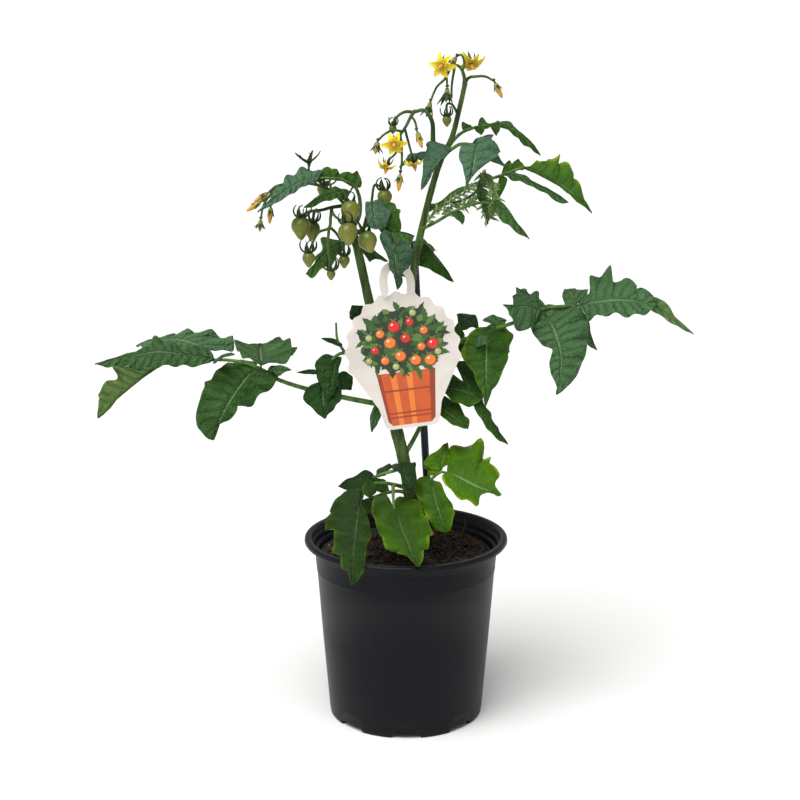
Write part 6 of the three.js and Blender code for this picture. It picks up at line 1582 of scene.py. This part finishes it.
def scatter(rng, edge):
    turn, radius = rng.uniform(0, math.tau), edge * math.sqrt(rng.random())
    return radius * math.cos(turn), radius * math.sin(turn)


def buildCrumbs():
    rng = random.Random(soilForm["seed"])
    edge = soilEdge(potForm["height"] - soilForm["drop"]) - 1
    crumbs, pale = bmesh.new(), bmesh.new()
    for i in range(soilForm["crumbs"] + soilForm["paleBits"]):
        bright = i >= soilForm["crumbs"]
        x, y = scatter(rng, edge)
        size = rng.uniform(0.35, 0.8) if bright else rng.uniform(0.4, 1.5) ** 1.4
        shape = Matrix.Diagonal((rng.uniform(0.7, 1.5), rng.uniform(0.6, 1.2), rng.uniform(0.5, 0.9), 1))
        turned = Matrix.Rotation(rng.uniform(0, math.tau), 4, "Z")
        turned = turned @ Matrix.Rotation(rng.uniform(-0.6, 0.6), 4, "X")
        at = Matrix.Translation(Vector((x, y, soilTop(x, y) + size * 0.25)) * mm)
        bmesh.ops.create_icosphere(pale if bright else crumbs, subdivisions=1, radius=size * mm,
                                   matrix=at @ turned @ shape)
    toObject(crumbs, "soil_crumbs", [crumbGround], None, smooth=False)
    toObject(pale, "soil_pale_bits", [paleGround], None, smooth=False)


# A bare twig that stands up out of the soil, in millimetres
twigForm = {
    "points": ((41, 34, 116), (42, 36, 121), (43.5, 37, 126), (43, 38, 129.5)),
    "radii": (1.1, 1.0, 0.9, 0.9, 0.8, 0.7, 0.6, 0.5, 0.3),
}


def buildFibres():
    rng = random.Random(soilForm["seed"] + 1)
    edge = soilEdge(potForm["height"] - soilForm["drop"]) - 7
    bm = bmesh.new()
    for _ in range(soilForm["fibres"]):
        x, y = scatter(rng, edge)
        turn, length = rng.uniform(0, math.tau), rng.uniform(3, 11)
        bow, rise = rng.uniform(-0.5, 0.5), rng.uniform(0.3, 2.2)
        points = []
        for i in range(5):
            share = i / 4
            reach = length * (share - 0.5)
            side = bow * length * 4 * share * (1 - share) * 0.5
            px = x + reach * math.cos(turn) - side * math.sin(turn)
            py = y + reach * math.sin(turn) + side * math.cos(turn)
            away = math.hypot(px, py) / (edge + 5)
            if away > 1:
                px, py = px / away, py / away
            points.append(Vector((px, py, soilTop(px, py) + 0.2 + rise * 4 * share * (1 - share))) * mm)
        thick = rng.uniform(0.12, 0.32) * mm
        growTube(bm, points, [thick * 0.6, thick, thick, thick * 0.8, thick * 0.3], sides=4)
    twig = smoothPath([Vector(place) * mm for place in twigForm["points"]], len(twigForm["radii"]) - 1)
    growTube(bm, twig, [radius * mm for radius in twigForm["radii"]], sides=7)
    toObject(bm, "soil_fibres", [fibreGround], None)


buildSoil()
buildCrumbs()
buildFibres()
print("soil made")

# Label: a card with a scalloped top and a hook, printed with a plain garden pattern

tagForm = {
    "thickness": 0.8, "centre": (-2, 262, 11), "turn": 0.13, "radius": 39, "rise": 41, "bump": 2.4,
    "bumps": 13, "footUp": -54, "footHalf": 19, "hookHalf": 2.8, "hookSteps": 28, "border": 2.6, "ink": 0.04,
    "hook": [(10, 36, -0.06), (11, 50, 0), (8, 57, 0), (2, 60, 1), (-4, 58, 2), (-7, 51, 3), (-7, 39, 3)],
}


def onTag(place, lift=0.0):
    # a place on the card's face, as it looks from the front
    across, up, toward = place
    turn = tagForm["turn"]
    middle, high, near = tagForm["centre"]
    point = spot((middle + across * math.cos(turn) - up * math.sin(turn),
                  high + across * math.sin(turn) + up * math.cos(turn), near + toward))
    point.y -= (tagForm["thickness"] / 2 + lift) * mm
    return point


def tagOutline():
    form = tagForm
    steps = form["bumps"] * 8
    points = []
    for i in range(steps + 1):
        angle = -0.35 + i / steps * (math.pi + 0.7)
        wave = math.cos(i / 8 * math.tau)
        reach = 1 - wave * form["bump"] / form["radius"] / 2
        points.append((form["radius"] * reach * math.cos(angle), form["rise"] * reach * math.sin(angle)))
    foot, half = form["footUp"], form["footHalf"]
    points += [(-half - 3, foot + 16), (-half, foot + 3), (-half + 1.2, foot + 1), (-half + 4, foot),
               (half - 4, foot), (half - 1.2, foot + 1), (half, foot + 3), (half + 3, foot + 16)]
    return points


def flatShape(bm, outline, lift, finish=0):
    # a flat printed shape on the card's face
    verts = [bm.verts.new(onTag((x, y, 0), lift)) for x, y in outline]
    face = bm.faces.new(verts)
    face.normal_update()
    if face.normal.y > 0:
        face.normal_flip()
    face.material_index = finish
    return face


def turnedPoint(x, y, along, aside, turn):
    return (x + along * math.cos(turn) - aside * math.sin(turn),
            y + along * math.sin(turn) + aside * math.cos(turn))


def ringOutline(x, y, wide, high, turn=0.0, count=28, lobes=0, depth=0.0):
    points = []
    for i in range(count):
        angle = i / count * math.tau
        reach = 1 + depth * math.cos(angle * lobes)
        px, py = wide * reach * math.cos(angle), high * reach * math.sin(angle)
        points.append(turnedPoint(x, y, px, py, turn))
    return points


def leafOutline(x, y, length, width, turn):
    points = []
    for side in (1, -1):
        for i in range(9):
            share = i / 9 if side == 1 else 1 - i / 9
            half = width / 2 * math.sin(math.pi * share ** 0.8) * (1 + 0.22 * math.sin(share * 21))
            points.append(turnedPoint(x, y, length * share, side * half, turn))
    return points


def buildTag():
    form = tagForm
    bm = bmesh.new()
    card = flatShape(bm, tagOutline(), 0.0)
    steps = form["hookSteps"]
    hook = smoothPath([Vector(place) for place in form["hook"]], steps)
    strip = bmesh.ops.create_grid(bm, x_segments=steps, y_segments=2, size=1)["verts"]
    for vert in strip:
        i = round((vert.co.x + 1) / 2 * steps)
        ahead = hook[min(i + 1, steps)] - hook[max(i - 1, 0)]
        side = Vector((-ahead.y, ahead.x, 0)).normalized() * form["hookHalf"] * vert.co.y
        taper = min(1, 0.45 + (steps - i) / 3)
        vert.co = onTag(hook[i] + side * taper)
    stripFaces = list({face for vert in strip for face in vert.link_faces})
    bmesh.ops.recalc_face_normals(bm, faces=stripFaces)
    if sum(face.normal.y for face in stripFaces) > 0:
        bmesh.ops.reverse_faces(bm, faces=stripFaces)
    bmesh.ops.solidify(bm, geom=[card], thickness=form["thickness"] * mm)
    bmesh.ops.solidify(bm, geom=stripFaces, thickness=form["thickness"] * 0.9 * mm)
    toObject(bm, "tag_card", [cardWhite], "tag", smooth=False)


# Each ink's colour, its shade and its gloss
inkColours = {
    "inkOrange": ("bf4f16", "ad4412", 0.3), "inkAmber": ("d9772a", "cc6a20", 0.3),
    "inkRust": ("8e3410", "7c2c0d", 0.3), "inkDeepGreen": ("1c3316", "162911", 0.32),
    "inkGreen": ("33591f", "294a19", 0.32), "inkLightGreen": ("587b33", "4b6d2b", 0.32),
    "inkRed": ("d3231a", "b81c15", 0.26), "inkShine": ("f6d8cc", "f2cabd", 0.26),
    "inkDarkRed": ("8c1a12", "76150f", 0.3), "inkUnripe": ("a3a86a", "93995b", 0.35),
}
printForm = {
    "planterTop": -14, "flare": 4, "leaves": 150,
    "ripe": [(-14, 14), (-4, 18), (7, 20), (16, 13), (-19, 3), (-8, 7), (3, 9), (13, 2), (21, 3), (-13, -5),
             (-2, -3), (8, -7), (18, -8)],
    "unripe": [(-22, 12), (10, 26), (24, -3), (-6, -10), (-24, -4)],
}


def buildPrint():
    # leaves, a bunch of ripe tomatoes and a plain banded planter
    rng = random.Random(5)
    bm = bmesh.new()
    orange, amber, rust, deep, green, light, red, shine, darkRed, unripe = range(len(inkColours))
    level = 0.0

    def lay(outline, ink):
        # each shape lies a little above the last
        nonlocal level
        level += 0.002
        flatShape(bm, outline, tagForm["ink"] + level, ink)

    half = tagForm["footHalf"] - tagForm["border"]
    foot = tagForm["footUp"] + tagForm["border"]
    # the planter turns from dark at its sides to bright left of its middle
    top, wide = printForm["planterTop"], half + printForm["flare"]
    lay([(-wide, top), (-half, foot + 3), (-half + 3, foot), (half - 3, foot), (half, foot + 3),
         (wide, top)], rust)
    for ink, left, right in ((orange, 0.86, 0.8), (amber, 0.55, 0.2), (orange, 0.34, 0.0)):
        lay([(-left * wide, top), (-left * half, foot), (right * half, foot), (right * wide, top)], ink)
    for low in (foot + 5, foot + 8, foot + 24):
        reach = half - 1 + (low - foot) * 0.08
        lay([(-reach, low), (reach, low), (reach + 0.1, low + 1.2), (-reach - 0.1, low + 1.2)], rust)
    lay(ringOutline(0, 8, 28, 22, count=60, lobes=13, depth=0.06), deep)
    for i in range(printForm["leaves"]):
        angle = i * 2.4 + rng.uniform(-0.2, 0.2)
        reach = rng.uniform(0.2, 1.0) if i > 60 else rng.uniform(0.75, 1.05)
        x, y = 25 * reach * math.cos(angle), 8 + 20 * reach * math.sin(angle)
        lay(leafOutline(x, y, rng.uniform(5, 11), rng.uniform(2.4, 4.6), angle + rng.uniform(-1.1, 1.1)),
            rng.choice((green, deep, deep, light, green, green)))
    for x, y in printForm["ripe"] + printForm["unripe"]:
        ripe = (x, y) in printForm["ripe"]
        size = rng.uniform(2.8, 4.4) if ripe else 2.6
        body = rng.choice((red, red, red, amber)) if ripe else unripe
        rim = darkRed if body == red else rust if body == amber else green
        lay(ringOutline(x, y, size, size * 0.95), rim)
        lay(ringOutline(x - 0.3, y + 0.3, size * 0.86, size * 0.82), body)
        lay(ringOutline(x - size * 0.3, y + size * 0.35, size * 0.22, size * 0.16, 0.6, 12), shine)
        lay(leafOutline(x, y + size * 0.9, 3.2, 1.1, 2.4), light)
        lay(leafOutline(x, y + size * 0.9, 3.2, 1.1, 0.7), light)
    inks = [paintCard(name, *look) for name, look in inkColours.items()]
    toObject(bm, "tag_print", inks, None, smooth=False)


buildTag()
buildPrint()
print("label made")

buildHairs(stemPaths)
print("stem hairs grown:", stemForm["hairs"])

# Floor, light and camera

stageForm = {
    "floor": 60.0, "floorColour": "dededd", "floorShade": "dadad9", "lens": 1544 * 36 / 800, "pitch": 13.1,
    "sky": {"horizon": 1.02, "high": 0.45, "from": 0.06, "to": 0.3},
    "sun": {"from": (-0.3, -0.5, 1.15), "strength": 3.8, "angle": 50},
    "lamp": {"at": (-1.1, -1.0, 1.3), "toward": (0, 0, 0.22), "size": 0.7, "power": 7},
}


def buildStage():
    form = stageForm
    bm = bmesh.new()
    bmesh.ops.create_grid(bm, x_segments=2, y_segments=2, size=form["floor"])
    mesh = bpy.data.meshes.new("studioFloor")
    bm.to_mesh(mesh)
    bm.free()
    floor = addObject("studioFloor", mesh)
    material, tree, shader = newMaterial("floorPaper")
    shade = mixColours(tree, grain(tree, 3, 2), linear(form["floorColour"]), linear(form["floorShade"]))
    tree.links.new(shade, shader.inputs["Base Color"])
    shader.inputs["Roughness"].default_value = 0.8
    mesh.materials.append(material)

    world = bpy.data.worlds.new("studioAir")
    world.use_nodes = True
    air, sky = world.node_tree, form["sky"]
    back = air.nodes["Background"]
    back.inputs["Color"].default_value = (1, 1, 1, 1)
    height = parted(air, air.nodes.new("ShaderNodeTexCoord").outputs["Generated"])[2]
    glow = spread(air, height, sky["from"], sky["to"], sky["horizon"], sky["high"])
    air.links.new(glow, back.inputs["Strength"])
    bpy.context.scene.world = world

    sun = bpy.data.lights.new("softSun", "SUN")
    sun.energy = form["sun"]["strength"]
    sun.angle = math.radians(form["sun"]["angle"])
    held = addObject("softSun", sun)
    held.rotation_euler = (-Vector(form["sun"]["from"])).to_track_quat("-Z", "Y").to_euler()

    lamp = bpy.data.lights.new("windowLeft", "AREA")
    lamp.size = form["lamp"]["size"]
    lamp.energy = form["lamp"]["power"]
    hung = addObject("windowLeft", lamp)
    hung.location = form["lamp"]["at"]
    aim = Vector(form["lamp"]["toward"]) - hung.location
    hung.rotation_euler = aim.to_track_quat("-Z", "Y").to_euler()

    camera = bpy.data.cameras.new("photoCamera")
    camera.lens = form["lens"]
    camera.sensor_width = 36
    camera.clip_end = 100
    seen = addObject("photoCamera", camera)
    seen.location = viewpoint * mm
    seen.rotation_euler = (math.radians(90 - form["pitch"]), 0, 0)
    bpy.context.scene.camera = seen
    bpy.context.scene.view_settings.view_transform = "Standard"


buildStage()
print("stage made")
